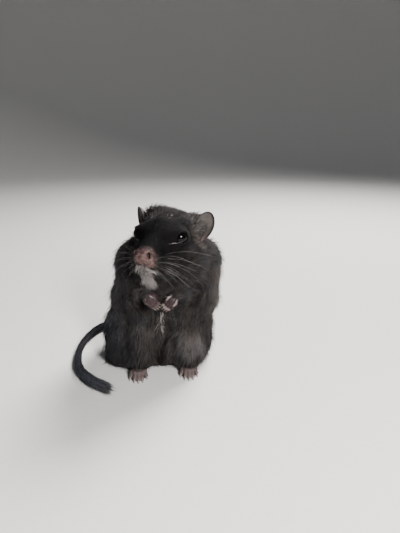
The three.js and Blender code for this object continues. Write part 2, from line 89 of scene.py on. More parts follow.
def smooth(value, low, high):
    """0 below low, 1 above high, and a soft step between them; low may be the larger."""
    share = np.clip((value - low) / (high - low), 0, 1)
    return share * share * (3 - 2 * share)


def mix(a, b, share):
    return a + (b - a) * share


def length_of(rows):
    return np.sqrt((rows * rows).sum(-1))


def unit(rows):
    rows = np.asarray(rows, float)
    return rows / np.maximum(length_of(rows)[..., None], 1e-9)


def flattened(rows, normals):
    """Vectors without their share along the normals."""
    return rows - (rows * normals).sum(1)[:, None] * normals


def beside(p, start, end):
    """The share of a stretch at which each point is nearest to it, and how far off the point is."""
    along = end - start
    share = np.clip((p - start) @ along / (along @ along), 0, 1)
    return share, length_of(p - start - share[:, None] * along)


def from_line(p, line):
    """How far points are from a broken line."""
    return np.minimum.reduce([beside(p, start, end)[1] for start, end in zip(line, line[1:])])


def turned(x, y, z):
    """A turn about Y, then X, then Z, in degrees. Its columns are the turned axes."""
    a, b, c = np.radians([x, y, z])
    about_x = np.array([[1, 0, 0], [0, math.cos(a), -math.sin(a)], [0, math.sin(a), math.cos(a)]])
    about_y = np.array([[math.cos(b), 0, math.sin(b)], [0, 1, 0], [-math.sin(b), 0, math.cos(b)]])
    about_z = np.array([[math.cos(c), -math.sin(c), 0], [math.sin(c), math.cos(c), 0], [0, 0, 1]])
    return about_z @ about_x @ about_y


def facing(direction):
    """A turn whose third column is the direction and whose second is as upright as it can be."""
    ahead = unit(direction)
    across = unit(np.cross([0, 0, 1], ahead))
    return np.column_stack([across, np.cross(ahead, across), ahead])


TRUNK_TURN = turned(0, 0, BODY_TURN)
HEAD_TURN = turned(HEAD_PITCH, 0, HEAD_YAW)


def on_trunk(x, y, z):
    """A place on the trunk, which leans and is turned."""
    return TRUNK_TURN @ np.array([x + LEAN * smooth(z, LEAN_FROM, LEAN_TO), y, z])


def on_head(x, y, z):
    return HEAD_CENTRE + HEAD_TURN @ np.array([x, y, z])


def from_head(h):
    return HEAD_CENTRE + h @ HEAD_TURN.T


def to_head(p):
    return (p - HEAD_CENTRE) @ HEAD_TURN


def waves(p, size, seed):
    """A smooth random value from -1 to 1 at each point, whose bumps are about that size."""
    draw = np.random.default_rng(seed)
    total = np.zeros(len(p))
    for _ in range(6):
        way = unit(draw.normal(size=3)) * (math.pi / size) * draw.uniform(0.7, 1.4)
        total += np.sin(p @ way + draw.uniform(0, 2 * math.pi))
    return total / 3.2


# Masses: each gives the distance of points from its surface, negative inside

def ball(centre, radii, turn=np.eye(3)):
    radii = np.asarray(radii, float)

    def mass(p):
        q = ((p - centre) @ turn) / radii
        reach = length_of(q)
        slope = length_of(q / radii)
        return reach * (reach - 1) / np.maximum(slope, 1e-9)

    return mass


def trunk_ball(x, y, z, radii):
    return ball(on_trunk(x, y, z), radii, TRUNK_TURN)


def limb(start, end, start_radius, end_radius):
    start, end = np.asarray(start, float), np.asarray(end, float)

    def mass(p):
        share, gap = beside(p, start, end)
        return gap - mix(start_radius, end_radius, share)

    return mass


def melt_values(width, near, far):
    overlap = np.maximum(width - np.abs(near - far), 0) / width
    return np.minimum(near, far) - overlap * overlap * width / 4


def melt(width, *masses):
    """One mass from several that run into each other over a width."""

    def mass(p):
        near = masses[0](p)
        for other in masses[1:]:
            near = melt_values(width, near, other(p))
        return near

    return mass


def slope_of(mass, p, step=0.05):
    """The unit direction in which the mass's distance grows."""
    corners = np.array([[1, -1, -1], [-1, -1, 1], [-1, 1, -1], [1, 1, 1]]) * step
    return unit(sum(mass(p + corner)[:, None] * corner for corner in corners))


# The trunk and the head, as in the solids

KNEE_MIDDLE = 3.2
KNEE_SPREAD = 12.2
KNEE_HEIGHT = 15


def knee_across(side):
    return KNEE_MIDDLE + side * KNEE_SPREAD


def haunch_mass(side):
    turn = TRUNK_TURN @ turned(18, 0, side * 6)
    knee = knee_across(side)
    high = KNEE_HEIGHT - side * 2
    return melt(
        4,
        ball(on_trunk(side * 17, -7, 16.5), [12, 18.5, 15.5], turn),
        trunk_ball(side * 18, -8, 8, [11, 15, 10]),
        trunk_ball(knee, -22.5, high, [8, 9.5, 9 + high * 0.2]),
        trunk_ball(knee - side, -19, high + 5, [7.4, 8, 11]),
        limb(on_trunk(knee, -22, 8), on_trunk(side * 18, -12, 7), 8.2, 8.4),
    )


def upper_arm_mass(side):
    return limb(on_trunk(side * 17.5, -11, 54), on_trunk(side * 18.6, -18, 40), 8.6, 6.6)


def trunk_mass():
    masses = [
        trunk_ball(0, 0, 17, [HIP_WIDTH / 2, 19, 18]),
        trunk_ball(3, -15, 11, [15, 12.5, 12]),
        trunk_ball(-1, -6, 34, [BELLY_WIDTH / 2 - 1, 21.5, 19]),
        trunk_ball(0, -7.5, 49, [CHEST_WIDTH / 2, 17.5, 17]),
        trunk_ball(0, -6, 58, [CHEST_WIDTH / 2 - 3.5, 14.5, 12]),
    ]
    breast = melt(4, trunk_ball(-1, -23, 54.5, [12, 11, 7.5]), trunk_ball(-1.5, -21.5, 42.5, [17, 10.5, 9]))
    neck = melt(
        6,
        limb(on_trunk(0, -3, 61), on_head(-4, 9.5, 0), 13, 11.4),
        ball(on_head(9.5, 3, -13), [9, 11, 12], HEAD_TURN),
        ball(on_head(-5, -9, -16.5), [9, 8, 7], HEAD_TURN),
    )
    arms = [upper_arm_mass(side) for side in SIDES.values()]
    haunches = [haunch_mass(side) for side in SIDES.values()]
    return melt(4.5, melt(7, melt(7, *masses, neck, breast), *arms), *haunches)


NOSE_TIP = -0.64 * SKULL_LENGTH
SNOUT = NOSE_TIP + 6
EYE_PLACE = np.array([0.26 * SKULL_WIDTH, -6.5, 2.4])
EYE_GAZE = unit([0.8, -0.56, 0.22])


def head_mass():
    """The head in its own frame, where the nose points to -y."""
    half = SKULL_WIDTH / 2
    high = SKULL_HEIGHT / 2
    masses = [
        ball([0, 3, 0], [half + 0.4, 13.2, high - 1]),
        ball([0, -4, 2.6], [half - 2.6, 10.5, high - 3.2]),
        limb([0, -7, -1], [0, SNOUT + 0.6, -3.2], 9.6, 5),
        limb([0, -7, 3.8], [0, SNOUT - 1.4, -0.9], 6.4, 3.2),
        ball([0, -10, -9], [8, 9, 6.6]),
    ]
    for side in SIDES.values():
        masses += [
            ball([side * 7, 4, 2.6], [half - 6.2, 12, high - 2.5]),
            ball([side * 10, 5.5, 4.9], [4.6, 5.8, 5.3]),
            ball([side * 8.2, -3, -5.5], [6.8, 10, 9.3]),
            ball([side * 6.6, -7.6, 2.8], [4.8, 6.4, 5.4]),
            ball([side * 3.3, SNOUT + 1.6, -5.4], [3.5, 5.2, 3.6]),
        ]
    nose = ball([0, NOSE_TIP + 2.6, -1.8], [4.7, 3, 3.3])
    chin = ball([0, SNOUT + 3, -9.3], [3.2, 5, 2.8])
    return melt(1.6, melt(4, *masses), nose, chin)


trunk = trunk_mass()
head = head_mass()

FURROW = [on_trunk(0.4, -31, 30), on_trunk(0.6, -32, 4)]
FURROW_DEPTH = 3
FURROW_REACH = 4.5


def whole(p):
    """The surface that the tips of the coat reach, with the furrow between the knees."""
    furrow = smooth(from_line(p, FURROW), FURROW_REACH, 0)
    return melt_values(6, trunk(p), head(to_head(p))) + FURROW_DEPTH * furrow


def on_head_skin(start, direction, sink=0.0):
    """Where a ray from inside the head, in its own frame, comes out of it."""
    at = np.array([start], float)
    way = unit(direction)
    for _ in range(80):
        at = at - way * 0.7 * (head(at)[:, None] + sink)
    return at[0]


def eye_place(side):
    """The centre of an eye in the head's frame, and the turn whose third column is its gaze."""
    flip = np.array([side, 1, 1])
    gaze = EYE_GAZE * flip
    centre = on_head_skin(EYE_PLACE * flip, gaze) - gaze * EYE_SINK
    return centre, facing(gaze)


EYES = {side: eye_place(side) for side in SIDES.values()}


# The skin: the same masses, less the depth of the coat, with the face's own forms

LID_THICK = 0.55
NOSTRIL = (3.3, NOSE_TIP + 1.25, -0.4)
MOUTH_HEIGHT = -8


def elbow(side):
    return on_trunk(side * 18, -13, 38)


def arm_bend(side):
    return on_trunk(side * 13.5 - 2, -25, 42)


def wrist(side):
    return on_trunk(side * 6.6 - 4.7, -34.2, 44.3 - side * 0.45)


forearms = melt(0.5, *[
    melt(1, limb(elbow(side), arm_bend(side), 4.2, 4.7), limb(arm_bend(side), wrist(side), 4.6, 2.7))
    for side in SIDES.values()
])


def headness(h):
    """1 on the head, 0 on the trunk, from places in the head's frame."""
    return smooth(length_of((h - [0, -4, 0]) / [1, 1.25, 1]), 22, 16)


def forwardness(h):
    """0 at the back of the head and 1 at the nose."""
    return smooth(-h[:, 1], -9, 24)


def eye_gap(h):
    """How far points in the head's frame are from the nearer eyeball."""
    return np.minimum(*[length_of(h - EYES[side][0]) - EYE_RADIUS for side in SIDES.values()])


# Where the skin stands further in or out than the plain masses: place, reach, amount
FITTED = [
    (np.array([-28, -12, 5.0]), 13, 1.8),
    (np.array([-19.5, -10, 56.0]), 7, 1.1),
    (np.array([31, -8, 27.0]), 11, -1.1),
]


def coat_depth(p):
    h = to_head(p)
    face = headness(h) * smooth(forwardness(h), 0, 0.85)
    depth = mix(BODY_DEPTH, FACE_DEPTH, face)
    muzzle = smooth(length_of(h - [0, NOSE_TIP, -3.5]), 9, 4)
    depth = mix(depth, 0.2, muzzle)
    depth = mix(depth, 0.35, headness(h) * smooth(eye_gap(h), 3, 0.6))
    for middle, reach, amount in FITTED:
        depth = depth + amount * smooth(length_of(p - middle), reach, 0.3 * reach)
    return mix(depth, 0.5, smooth(p[:, 2], 5, 0.5))


def eye_forms(side, h, near):
    """The lids laid over one eye, and its socket and opening cut out."""
    centre, turn = EYES[side]
    q = (h - centre) @ turn
    out = length_of(h - centre)
    across = q[:, 0] * side
    tilt = q[:, 1] - 0.1 * across
    open_wide = (length_of(np.column_stack([across / EYE_OPEN[0], tilt / EYE_OPEN[1]])) - 1) * 2.2
    lid = np.maximum.reduce([out - (EYE_RADIUS + LID_THICK), 0.1 - open_wide, 0.5 - q[:, 2]])
    near = melt_values(1.1, near, lid)
    gap = np.maximum(open_wide, -q[:, 2])
    return np.maximum.reduce([near, -gap, EYE_RADIUS + 0.04 - out])


def face_forms(h, near):
    """Nostrils, the groove under the nose and the line of the mouth."""
    for side in SIDES.values():
        middle = np.array([side * NOSTRIL[0], NOSTRIL[1], NOSTRIL[2]])
        rim = ball(middle + [side * 0.05, 0.6, 0.1], [0.95, 1.05, 1.4], turned(0, side * 14, side * 34))
        near = melt_values(0.8, near, rim(h) + 0.3)
        hole = ball(middle, [0.8, 1.9, 0.95], turned(0, 0, side * 34))
        slit = ball(middle + [side * 0.15, 0.1, -1.1], [0.4, 1.7, 0.95], turned(0, side * 22, side * 34))
        near = np.maximum(near, -melt_values(0.3, hole(h), slit(h)))
    groove = np.maximum.reduce([np.abs(h[:, 0]) - 0.25, h[:, 2] + 3.2, -8.2 - h[:, 2]]) + 0.1
    shell = np.abs(near + 0.05) - 0.3
    near = np.maximum(near, -np.maximum(groove, shell))
    share = np.clip(np.abs(h[:, 0]) / 5, 0, 1)
    line = np.abs(h[:, 2] - (MOUTH_HEIGHT + 1.1 * share)) - 0.22
    ahead = h[:, 1] - (SNOUT + 5.5)
    mouth = np.maximum.reduce([line, ahead, np.abs(near + 0.05) - 0.45])
    return np.maximum(near, -mouth)


def skin(p):
    h = to_head(p)
    near = whole(p) + coat_depth(p)
    near = melt_values(1.2, near, forearms(p) + ARM_DEPTH)
    close = np.where(length_of(h - [0, -12, -1]) < 24)[0]
    faced = near[close]
    for side in SIDES.values():
        faced = eye_forms(side, h[close], faced)
    near[close] = face_forms(h[close], faced)
    return np.maximum(near, FLOOR_SKIN - p[:, 2])


# A closed mesh where a mass ends

def spaced(low, high, coarse, fine=None, fine_from=0.0, fine_to=0.0):
    """Places from low to high at a coarse step, with a finer step over one stretch."""
    places = [low]
    while places[-1] < high:
        inside = fine is not None and fine_from <= places[-1] < fine_to
        places.append(places[-1] + (fine if inside else coarse))
    return np.array(places)


def sampled(mass, axes):
    """The mass on a grid. Far from its surface a coarser grid gives the value."""
    shape = tuple(len(axis) for axis in axes)
    every = 5
    thin = [axis[::every] for axis in axes]
    rough = mass(np.stack(np.meshgrid(*thin, indexing="ij"), -1).reshape(-1, 3))
    rough = rough.reshape([len(axis) for axis in thin])
    index = [np.minimum((np.arange(n) + every // 2) // every, rough.shape[i] - 1)
             for i, n in enumerate(shape)]
    value = rough[np.ix_(*index)]
    widest = max(np.diff(axis).max() for axis in axes)
    near = np.abs(value) < every * widest * 1.25
    places = np.where(near)
    points = np.column_stack([axes[i][places[i]] for i in range(3)])
    value[places] = mass(points)
    return value


def netted(mass, axes, settle=3):
    """Points and quads of the mass's surface: one point for each cell of the grid that it crosses."""
    value = sampled(mass, axes)
    inside = value < 0
    cells = tuple(n - 1 for n in value.shape)
    total = np.zeros(cells + (3,))
    number = np.zeros(cells)
    crossings = []
    for axis in range(3):
        first = [slice(None)] * 3
        second = [slice(None)] * 3
        first[axis] = slice(None, -1)
        second[axis] = slice(1, None)
        crossed = np.argwhere(inside[tuple(first)] != inside[tuple(second)])
        a = value[tuple(crossed.T)]
        ahead = crossed.copy()
        ahead[:, axis] += 1
        b = value[tuple(ahead.T)]
        point = np.column_stack([axes[i][crossed[:, i]] for i in range(3)])
        stride = np.diff(axes[axis])[crossed[:, axis]]
        point[:, axis] += a / (a - b) * stride
        across = [i for i in range(3) if i != axis]
        around = []
        for du, dv in ((0, 0), (-1, 0), (-1, -1), (0, -1)):
            cell = crossed.copy()
            cell[:, across[0]] += du
            cell[:, across[1]] += dv
            np.add.at(total, tuple(cell.T), point)
            np.add.at(number, tuple(cell.T), 1)
            around.append(cell)
        crossings.append((axis, a < 0, around))
    label = np.full(cells, -1)
    used = np.where(number > 0)
    label[used] = np.arange(len(used[0]))
    points = total[used] / number[used][:, None]
    quads = []
    for axis, outward, around in crossings:
        corners = np.column_stack([label[tuple(cell.T)] for cell in around])
        flip = outward if axis != 1 else ~outward
        corners[~flip] = corners[~flip][:, ::-1]
        quads.append(corners)
    for _ in range(settle):
        away = mass(points)
        points = points - slope_of(mass, points) * np.clip(away, -0.2, 0.2)[:, None]
    return points, np.concatenate(quads)


# Meshes

def linked(name, data):
    """An object in the scene."""
    made = bpy.data.objects.new(name, data)
    bpy.context.scene.collection.objects.link(made)
    return made


def add_values(mesh, values):
    """Named values, each one number for every point of a mesh."""
    for key, value in values.items():
        attribute = mesh.attributes.new(key, "FLOAT", "POINT")
        attribute.data.foreach_set("value", np.asarray(value, np.float32))


def piece(name, points, faces, material, values=None, flat=None):
    """A shaded mesh object from points in millimetres, whose faces all have the same number of corners."""
    mesh = bpy.data.meshes.new(name)
    faces = np.asarray(faces, np.int32)
    corners = faces.shape[1]
    mesh.vertices.add(len(points))
    mesh.vertices.foreach_set("co", (np.asarray(points) * MM).astype(np.float32).ravel())
    mesh.loops.add(faces.size)
    mesh.loops.foreach_set("vertex_index", faces.ravel())
    mesh.polygons.add(len(faces))
    mesh.polygons.foreach_set("loop_start", np.arange(len(faces), dtype=np.int32) * corners)
    mesh.polygons.foreach_set("use_smooth", np.ones(len(faces), bool))
    mesh.update(calc_edges=True)
    add_values(mesh, values or {})
    if flat is not None:
        layer = mesh.uv_layers.new(name="OFBake")
        layer.data.foreach_set("uv", flat[faces.ravel()].astype(np.float32).ravel())
    mesh.validate()
    mesh.materials.append(material)
    made = linked(name, mesh)
    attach(made, "root")
    return made


# Materials

class Socket:
    """One output of a shader node, which takes part in Python expressions."""

    def __init__(self, shader, socket):
        self.shader = shader
        self.socket = socket

    def __add__(self, other):
        return self.shader.maths("ADD", self, other)

    def __radd__(self, other):
        return self.shader.maths("ADD", other, self)

    def __sub__(self, other):
        return self.shader.maths("SUBTRACT", self, other)

    def __rsub__(self, other):
        return self.shader.maths("SUBTRACT", other, self)

    def __mul__(self, other):
        return self.shader.maths("MULTIPLY", self, other)

    def __rmul__(self, other):
        return self.shader.maths("MULTIPLY", other, self)

    def clamped(self):
        return self.shader.maths("ADD", self, 0.0, clamp=True)


class Shader:
    """A material under construction."""

    def __init__(self, name, **constants):
        self.material = bpy.data.materials.new(name)
        self.material.use_nodes = True
        self.tree = self.material.node_tree
        self.surface = self.tree.nodes["Principled BSDF"]
        for key, value in constants.items():
            self.surface.inputs[key.replace("_", " ")].default_value = value

    def node(self, kind, settings=None, inputs=None, output=0):
        """A node of a type. Its settings are set first, then its inputs, by name or by number."""
        made = self.tree.nodes.new(kind)
        for key, value in (settings or {}).items():
            setattr(made, key, value)
        for key, value in (inputs or {}).items():
            self.feed(made.inputs[key], value)
        return Socket(self, made.outputs[output])

    def feed(self, target, value):
        if isinstance(value, Socket):
            self.tree.links.new(value.socket, target)
        elif isinstance(value, tuple) and len(value) == 3 and target.type == "RGBA":
            target.default_value = (*value, 1)
        else:
            target.default_value = value

    def maths(self, operation, a, b, clamp=False):
        settings = {"operation": operation, "use_clamp": clamp}
        return self.node("ShaderNodeMath", settings, {0: a, 1: b})

    def blend(self, a, b, share):
        """A colour between two colours."""
        return self.node("ShaderNodeMix", {"data_type": "RGBA"}, {0: share, 6: a, 7: b}, output=2)

    def value(self, name):
        """A named attribute of the mesh."""
        return self.node("ShaderNodeAttribute", {"attribute_name": name}, output=2)

    def place(self):
        return self.node("ShaderNodeTexCoord", output=3)

    def noise(self, size, detail=2.0, roughness=0.5):
        """Noise on object coordinates, whose lumps are about that many millimetres."""
        scale = 1 / (size * MM)
        inputs = {"Vector": self.place(), "Scale": scale, "Detail": detail, "Roughness": roughness}
        return self.node("ShaderNodeTexNoise", None, inputs)

    def finish(self, bump=None, strength=0.3, distance=0.2, **inputs):
        """Links what varies to the surface, and gives the material back."""
        for key, value in inputs.items():
            self.feed(self.surface.inputs[key.replace("_", " ")], value)
        if bump is not None:
            settings = {"Strength": strength, "Distance": distance * MM, "Height": bump}
            normal = self.node("ShaderNodeBump", None, settings)
            self.feed(self.surface.inputs["Normal"], normal)
        return self.material


BLACK = (0.003, 0.0028, 0.003)
SOOT = (0.129, 0.12, 0.125)
# Cooler, darker hair tips painted as shade on the animal's right side
SHADED_SIDE_SOOT = (0.09, 0.1, 0.125)
WHITE_HAIR = (0.5, 0.46, 0.455)
PINK = (0.15, 0.092, 0.084)
DUSKY = (0.034, 0.021, 0.022)


def coat_material():
    """Black hairs with paler, browner tips, cooler and darker towards the right side as painted shade, and
    the white ones of the chin.
    """
    shader = Shader("black_fur", Specular_IOR_Level=0.03)
    shade = shader.value("shade")
    tip = shader.value("tip")
    sooty = shader.blend(SOOT, (0.15, 0.128, 0.113), (shader.noise(9.0) * 2.4 - 0.8).clamped())
    across = shader.node("ShaderNodeSeparateXYZ", None, {"Vector": shader.place()})
    # Painted shade: towards the right side (-x) the hairs turn cooler and darker
    sooty = shader.blend(sooty, SHADED_SIDE_SOOT, (across * -45.0 - 0.25).clamped() * 0.8)
    dark = shader.blend(BLACK, sooty, (shade * (0.35 + tip * 0.85)).clamped())
    pale = shader.blend((0.05, 0.036, 0.034), WHITE_HAIR, (shade * (0.6 + tip * 0.4)).clamped())
    colour = shader.blend(dark, pale, shader.value("white"))
    return shader.finish(Base_Color=colour, Roughness=0.58 - shade * 0.14)


def skin_material():
    """Dark skin under the coat, pink and bare at the end of the muzzle."""
    shader = Shader("skin", Specular_IOR_Level=0.03, Subsurface_Weight=0.05, Subsurface_Scale=0.8 * MM)
    bare = shader.value("bare")
    fine = shader.noise(0.5, 3.0)
    broad = shader.noise(2.2)
    spots = shader.noise(0.9, 2.0, 0.6)
    mottled = (broad * 1.7 + spots * 1.7 - 1.2).clamped()
    pink = shader.blend(DUSKY, PINK, mottled)
    dark = shader.blend(BLACK, (0.008, 0.007, 0.007), fine)
    pale = shader.blend((0.12, 0.085, 0.08), (0.34, 0.27, 0.25), fine)
    colour = shader.blend(shader.blend(dark, pale, shader.value("white") * 0.6), pink, bare)
    rough = 0.62 - bare * 0.16
    return shader.finish(bump=fine, strength=0.35, distance=0.15, Base_Color=colour, Roughness=rough)


def eye_material():
    """Wet black, with the faintest brown where the iris is."""
    shader = Shader("wet_eye", Roughness=0.02, Specular_IOR_Level=0.15)
    colour = shader.blend((0.0008, 0.0007, 0.0007), (0.0022, 0.0015, 0.0013), shader.noise(1.1))
    return shader.finish(Base_Color=colour)


def ear_material():
    """Thin skin: grey-brown, darker on the rim, pinker at the root."""
    shader = Shader("ear_skin", Specular_IOR_Level=0.3, Subsurface_Weight=0.1, Subsurface_Scale=0.5 * MM)
    fine = shader.noise(0.6, 3.0)
    broad = shader.noise(2.5, 3.0, 0.6)
    rim = shader.value("rim")
    root = shader.value("root")
    mottled = (broad * 1.7 + fine * 0.6 - 0.65).clamped()
    thin = shader.blend((0.024, 0.02, 0.019), (0.085, 0.074, 0.065), mottled)
    near_root = shader.blend(thin, (0.2, 0.125, 0.115), root)
    colour = shader.blend(near_root, (0.012, 0.01, 0.01), rim)
    return shader.finish(bump=fine, strength=0.3, distance=0.12, Base_Color=colour, Roughness=0.6)


def paw_material():
    """Skin of hands and feet: purple-brown, paler on the fingers, with a painted highlight along the upper
    side.
    """
    gloss = {"Specular_IOR_Level": 0.15, "Subsurface_Weight": 0.06, "Subsurface_Scale": 0.8 * MM}
    shader = Shader("paw_skin", **gloss)
    fine = shader.noise(0.45, 3.0)
    pale = shader.value("pale")
    dusk = shader.blend((0.01, 0.006, 0.007), (0.042, 0.024, 0.026), fine)
    light = shader.blend((0.2, 0.15, 0.14), (0.36, 0.3, 0.28), fine)
    # The pale value holds the fingers' own paler colour and a painted highlight on the upper side, stronger
    # on the left hand
    colour = shader.blend(dusk, light, pale)
    return shader.finish(bump=fine, strength=0.4, distance=0.12, Base_Color=colour, Roughness=0.52)


def horn_material():
    shader = Shader("claw_horn", Specular_IOR_Level=0.55, Roughness=0.28)
    colour = shader.blend((0.1, 0.077, 0.068), (0.27, 0.225, 0.2), shader.noise(0.5))
    return shader.finish(Base_Color=colour)


def stiff_hair_material(name, root, tip, roughness, **constants):
    """Stiff hairs, darker at the root than at the tip."""
    shader = Shader(name, **constants)
    share = shader.value("along")
    colour = shader.blend(root, tip, share)
    return shader.finish(Base_Color=colour, Roughness=roughness + share * 0.1)


FUR = coat_material()
SKIN = skin_material()
EYE = eye_material()
EAR = ear_material()
PAW = paw_material()
HORN = horn_material()
WHISKER = stiff_hair_material(
    "whisker_hair", (0.03, 0.026, 0.026), (0.25, 0.23, 0.225), 0.34, Specular_IOR_Level=0.6,
)
BRISTLE = stiff_hair_material(
    "pale_hair", (0.3, 0.26, 0.24), (0.72, 0.68, 0.65), 0.4, Specular_IOR_Level=0.5,
)


# Markings: the same for the skin and for the coat over it, and the coat's tone with painted light and shade

CHIN_LINE = np.array([[0.0, -41.6, 59.6], [-0.6, -35, 54.5], [0.8, -32.5, 50.6]])
CHIN_HALF_WIDTH = 3.5
WISP = np.array([[6, -27, 34.5], [5.4, -23, 24]])
# The line of painted shade in the crease by the left knee
KNEE_CREASE_SHADE = np.array([[8.3, -21.3, 19.7], [5.9, -24.6, 14.1], [4.1, -24, 6.4]])


def whiteness(p):
    """One on the white chin and throat."""
    edge = from_line(p, CHIN_LINE) + 0.5 * waves(p, 1.4, 3) + 0.5 * smooth(p[:, 1], -34, -40)
    return smooth(edge, CHIN_HALF_WIDTH + 1.7, CHIN_HALF_WIDTH - 1.4)


def ear_base(h):
    """One at the thinly haired skin below an ear's opening."""
    return smooth(length_of(np.column_stack([np.abs(h[:, 0]), h[:, 1:]]) - [13.6, 0, -1.5]), 4.6, 1.8)


def tone_and_painted_light(p):
    """How light the coat's tips are.

    The head is darker, and the bridge and the surround of the eyes are black: partly the face's own colour,
    partly painted shade. The crease by the left knee is painted shade. The shoulders and the left knee are
    palest, with a painted sheen where light falls on them; the fur below the ears and before the left one
    is paler; and the right side is darker, with painted shade.
    """
    h = to_head(p)
    # Painted shade in part: the head is darker and the bridge and eye surround near black, beside the
    # face's own black
    dusk = length_of((h - [0, -15, 4]) / [1.4, 1.2, 1]) + 1.6 * waves(p, 5, 5)
    on_face = headness(h)
    value = mix(0.34, 0.2, on_face) * (1 - 0.92 * smooth(dusk, 17, 5) * on_face)
    # Painted sheen: the shoulders are paler, as where light falls on them
    shoulder = length_of((np.abs(p - on_trunk(0, -12, 41)) - [27, 0, 0]) / [1, 1, 2])
    before_ear = length_of(h - [13, 2.6, 3.6])
    value = value + 0.6 * smooth(shoulder, 13, 4) + 0.8 * ear_base(h) + 0.5 * smooth(before_ear, 6.5, 2)
    # Painted highlight on the top of the left knee, where light falls
    knee = length_of((p - on_trunk(knee_across(1) + 1, -27, 17)) / [1.3, 1, 0.8]) + 1.5 * waves(p, 4, 7)
    value = value + 0.8 * smooth(knee, 9.5, 3)
    belly = smooth(p[:, 2], 40, 25) * smooth(-p[:, 1], 12, 26)
    # Painted shade darkens the crease by the left knee
    crease = 0.8 * smooth(from_line(p, KNEE_CREASE_SHADE), 3.2, 0.6)
    # Painted shade: darker towards the right side (-x); the belly is a little paler
    return (value + 0.08 * belly) * (1 - 0.3 * smooth(p[:, 0], -8, -24)) * (1 - crease)


def bareness(p):
    """How bare the skin is: the end of the muzzle, and the thinly haired skin below the ears."""
    h = to_head(p)
    edge = length_of((h - [0.4, NOSE_TIP + 0.4, -2.5]) / [6.7, 5, 4.9]) + 0.12 * waves(p, 1.3, 4)
    muzzle = smooth(edge, 1.55, 0.55) * (1 - 0.85 * whiteness(p))
    return np.maximum(muzzle, 0.7 * ear_base(h))


# Skin

COARSE = 0.66
FINE = 0.32


def build_skin():
    """The skin of all but eyes, ears, hands, feet and tail, finest on the face."""
    axes = (
        spaced(-31, 37, COARSE, FINE, -10, 22),
        spaced(-49, 21, COARSE, FINE, -47, -25),
        spaced(-0.4, 82, COARSE, FINE, 55, 77),
    )
    points, quads = netted(skin, axes)
    values = {"white": whiteness(points), "bare": bareness(points)}
    made = piece("skin", points, quads, SKIN, values)
    flesh = ["jaw", "head", "neck", "torso"]
    for side in SIDES:
        flesh += [part + "_" + side for part in ("forearm", "upper_arm", "shank", "thigh")]
    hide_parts(*flesh)
    return points, quads


# Eyes

def round_grid(sides, rings):
    """Points of a unit ball in rings from pole to pole along z, and its quads; the poles are closed."""
    turn = np.arange(sides) * 2 * math.pi / sides
    fall = np.linspace(0, math.pi, rings + 1)
    fall[0] += 1e-3
    fall[-1] -= 1e-3
    around, down = np.meshgrid(turn, fall)
    points = np.stack([np.sin(down) * np.cos(around), np.sin(down) * np.sin(around), np.cos(down)], -1)
    return points.reshape(-1, 3), ring_quads(sides, rings)


def ring_quads(sides, rings):
    """Quads between rings of points that lie one after another."""
    step = np.arange(rings)[:, None] * sides
    near = np.arange(sides)[None, :]
    far = (near + 1) % sides
    quads = np.stack([step + near, step + sides + near, step + sides + far, step + far], -1)
    return quads.reshape(-1, 4)


def build_eyes():
    ball_points, quads = round_grid(48, 32)
    for name, side in SIDES.items():
        centre, turn = EYES[side]
        bulge = 1 + 0.025 * smooth(ball_points[:, 2], 0.45, 0.95)
        local = centre + (ball_points * bulge[:, None] * EYE_RADIUS) @ turn.T
        made = piece("eyeball_" + name, from_head(local), quads, EYE)
        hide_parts("eye_" + name)


# Ears: a thin scoop with a rolled rim

EAR_THICK = 0.34


def build_ear(name, side):
    ball_points, quads = round_grid(56, 40)
    x, y, z = ball_points.T
    wide = (EAR_WIDTH / 2) * (1 + 0.3 * y - 0.16 * y * y)
    cup = 2.4 * x * x * (1.3 - 0.6 * y) + 1.6 * y * y * np.where(y > 0, 0.6, 1)
    edge = length_of(np.column_stack([x, y]))
    roll = 0.5 * smooth(edge, 0.86, 1) * smooth(y, -0.75, -0.2)
    folds = 0.12 * np.sin(9 * x + 2 * y) * smooth(edge, 1, 0.5) * smooth(y, 0.5, -0.6)
    thick = EAR_THICK * np.sign(z) * np.abs(z) ** 0.5
    local = np.column_stack([x * wide, y * EAR_LENGTH / 2, thick + cup + roll + folds])
    turn = turned(0, math.degrees(side * EAR_SPREAD), 0) @ facing([side * EAR_GAZE[0], EAR_GAZE[1], 0])
    points = from_head(local @ turn.T + np.array(EAR_PLACE) * [side, 1, 1])
    values = {
        "rim": smooth(edge, 0.8, 0.97) * smooth(y, -0.8, -0.4),
        "root": smooth(y, -0.15, -0.75) * np.where(z > 0, 1, 0.4),
    }
    made = piece("ear_skin_" + name, points, quads, EAR, values)
    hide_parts("ear_" + name)
    return points, quads, HEAD_TURN @ turn @ np.array([0, 1.0, 0])


# Hands and feet: a palm or sole, and digits that end in claws

FINGER_RADIUS = 0.66
TOE_RADIUS = 1.05
CLAW_LENGTH = 2.4
HAND_CLAW_WIDTH = 0.6
FOOT_CLAW_WIDTH = 1.05
CLAW_TAPER = np.array([0.42, 0.46, 0.44, 0.4, 0.33, 0.25, 0.15, 0.04])


def digit(root, tip, droop, radius):
    """The mass of a finger or toe, and the curved line of the claw that comes out of its tip."""
    middle = mix(root, tip, 0.55) - droop * radius * 0.9
    pad = mix(root, tip, 0.92) + droop * radius * 0.25
    knuckle = mix(root, middle, 0.75)
    mass = melt(
        0.5,
        limb(root, middle, radius * 0.95, radius * 0.88),
        limb(middle, tip, radius * 0.85, radius * 0.72),
        limb(knuckle, middle, radius * 1.02, radius * 0.9),
        limb(pad, pad + 0.05 * droop, radius * 0.95, radius * 0.9),
    )
    ahead = unit(tip - middle)
    start = tip - ahead * radius * 0.5 - droop * radius * 0.3
    over = start + ahead * CLAW_LENGTH * 0.75 - droop * CLAW_LENGTH * 0.05
    point = start + ahead * CLAW_LENGTH * 1.1 + droop * CLAW_LENGTH * 0.5
    share = np.linspace(0, 1, len(CLAW_TAPER))[:, None]
    claw = (1 - share) ** 2 * start + 2 * share * (1 - share) * over + share ** 2 * point
    claw[:, 2] = np.maximum(claw[:, 2], mix(0.55, 0.12, share[:, 0]))
    return mass, claw


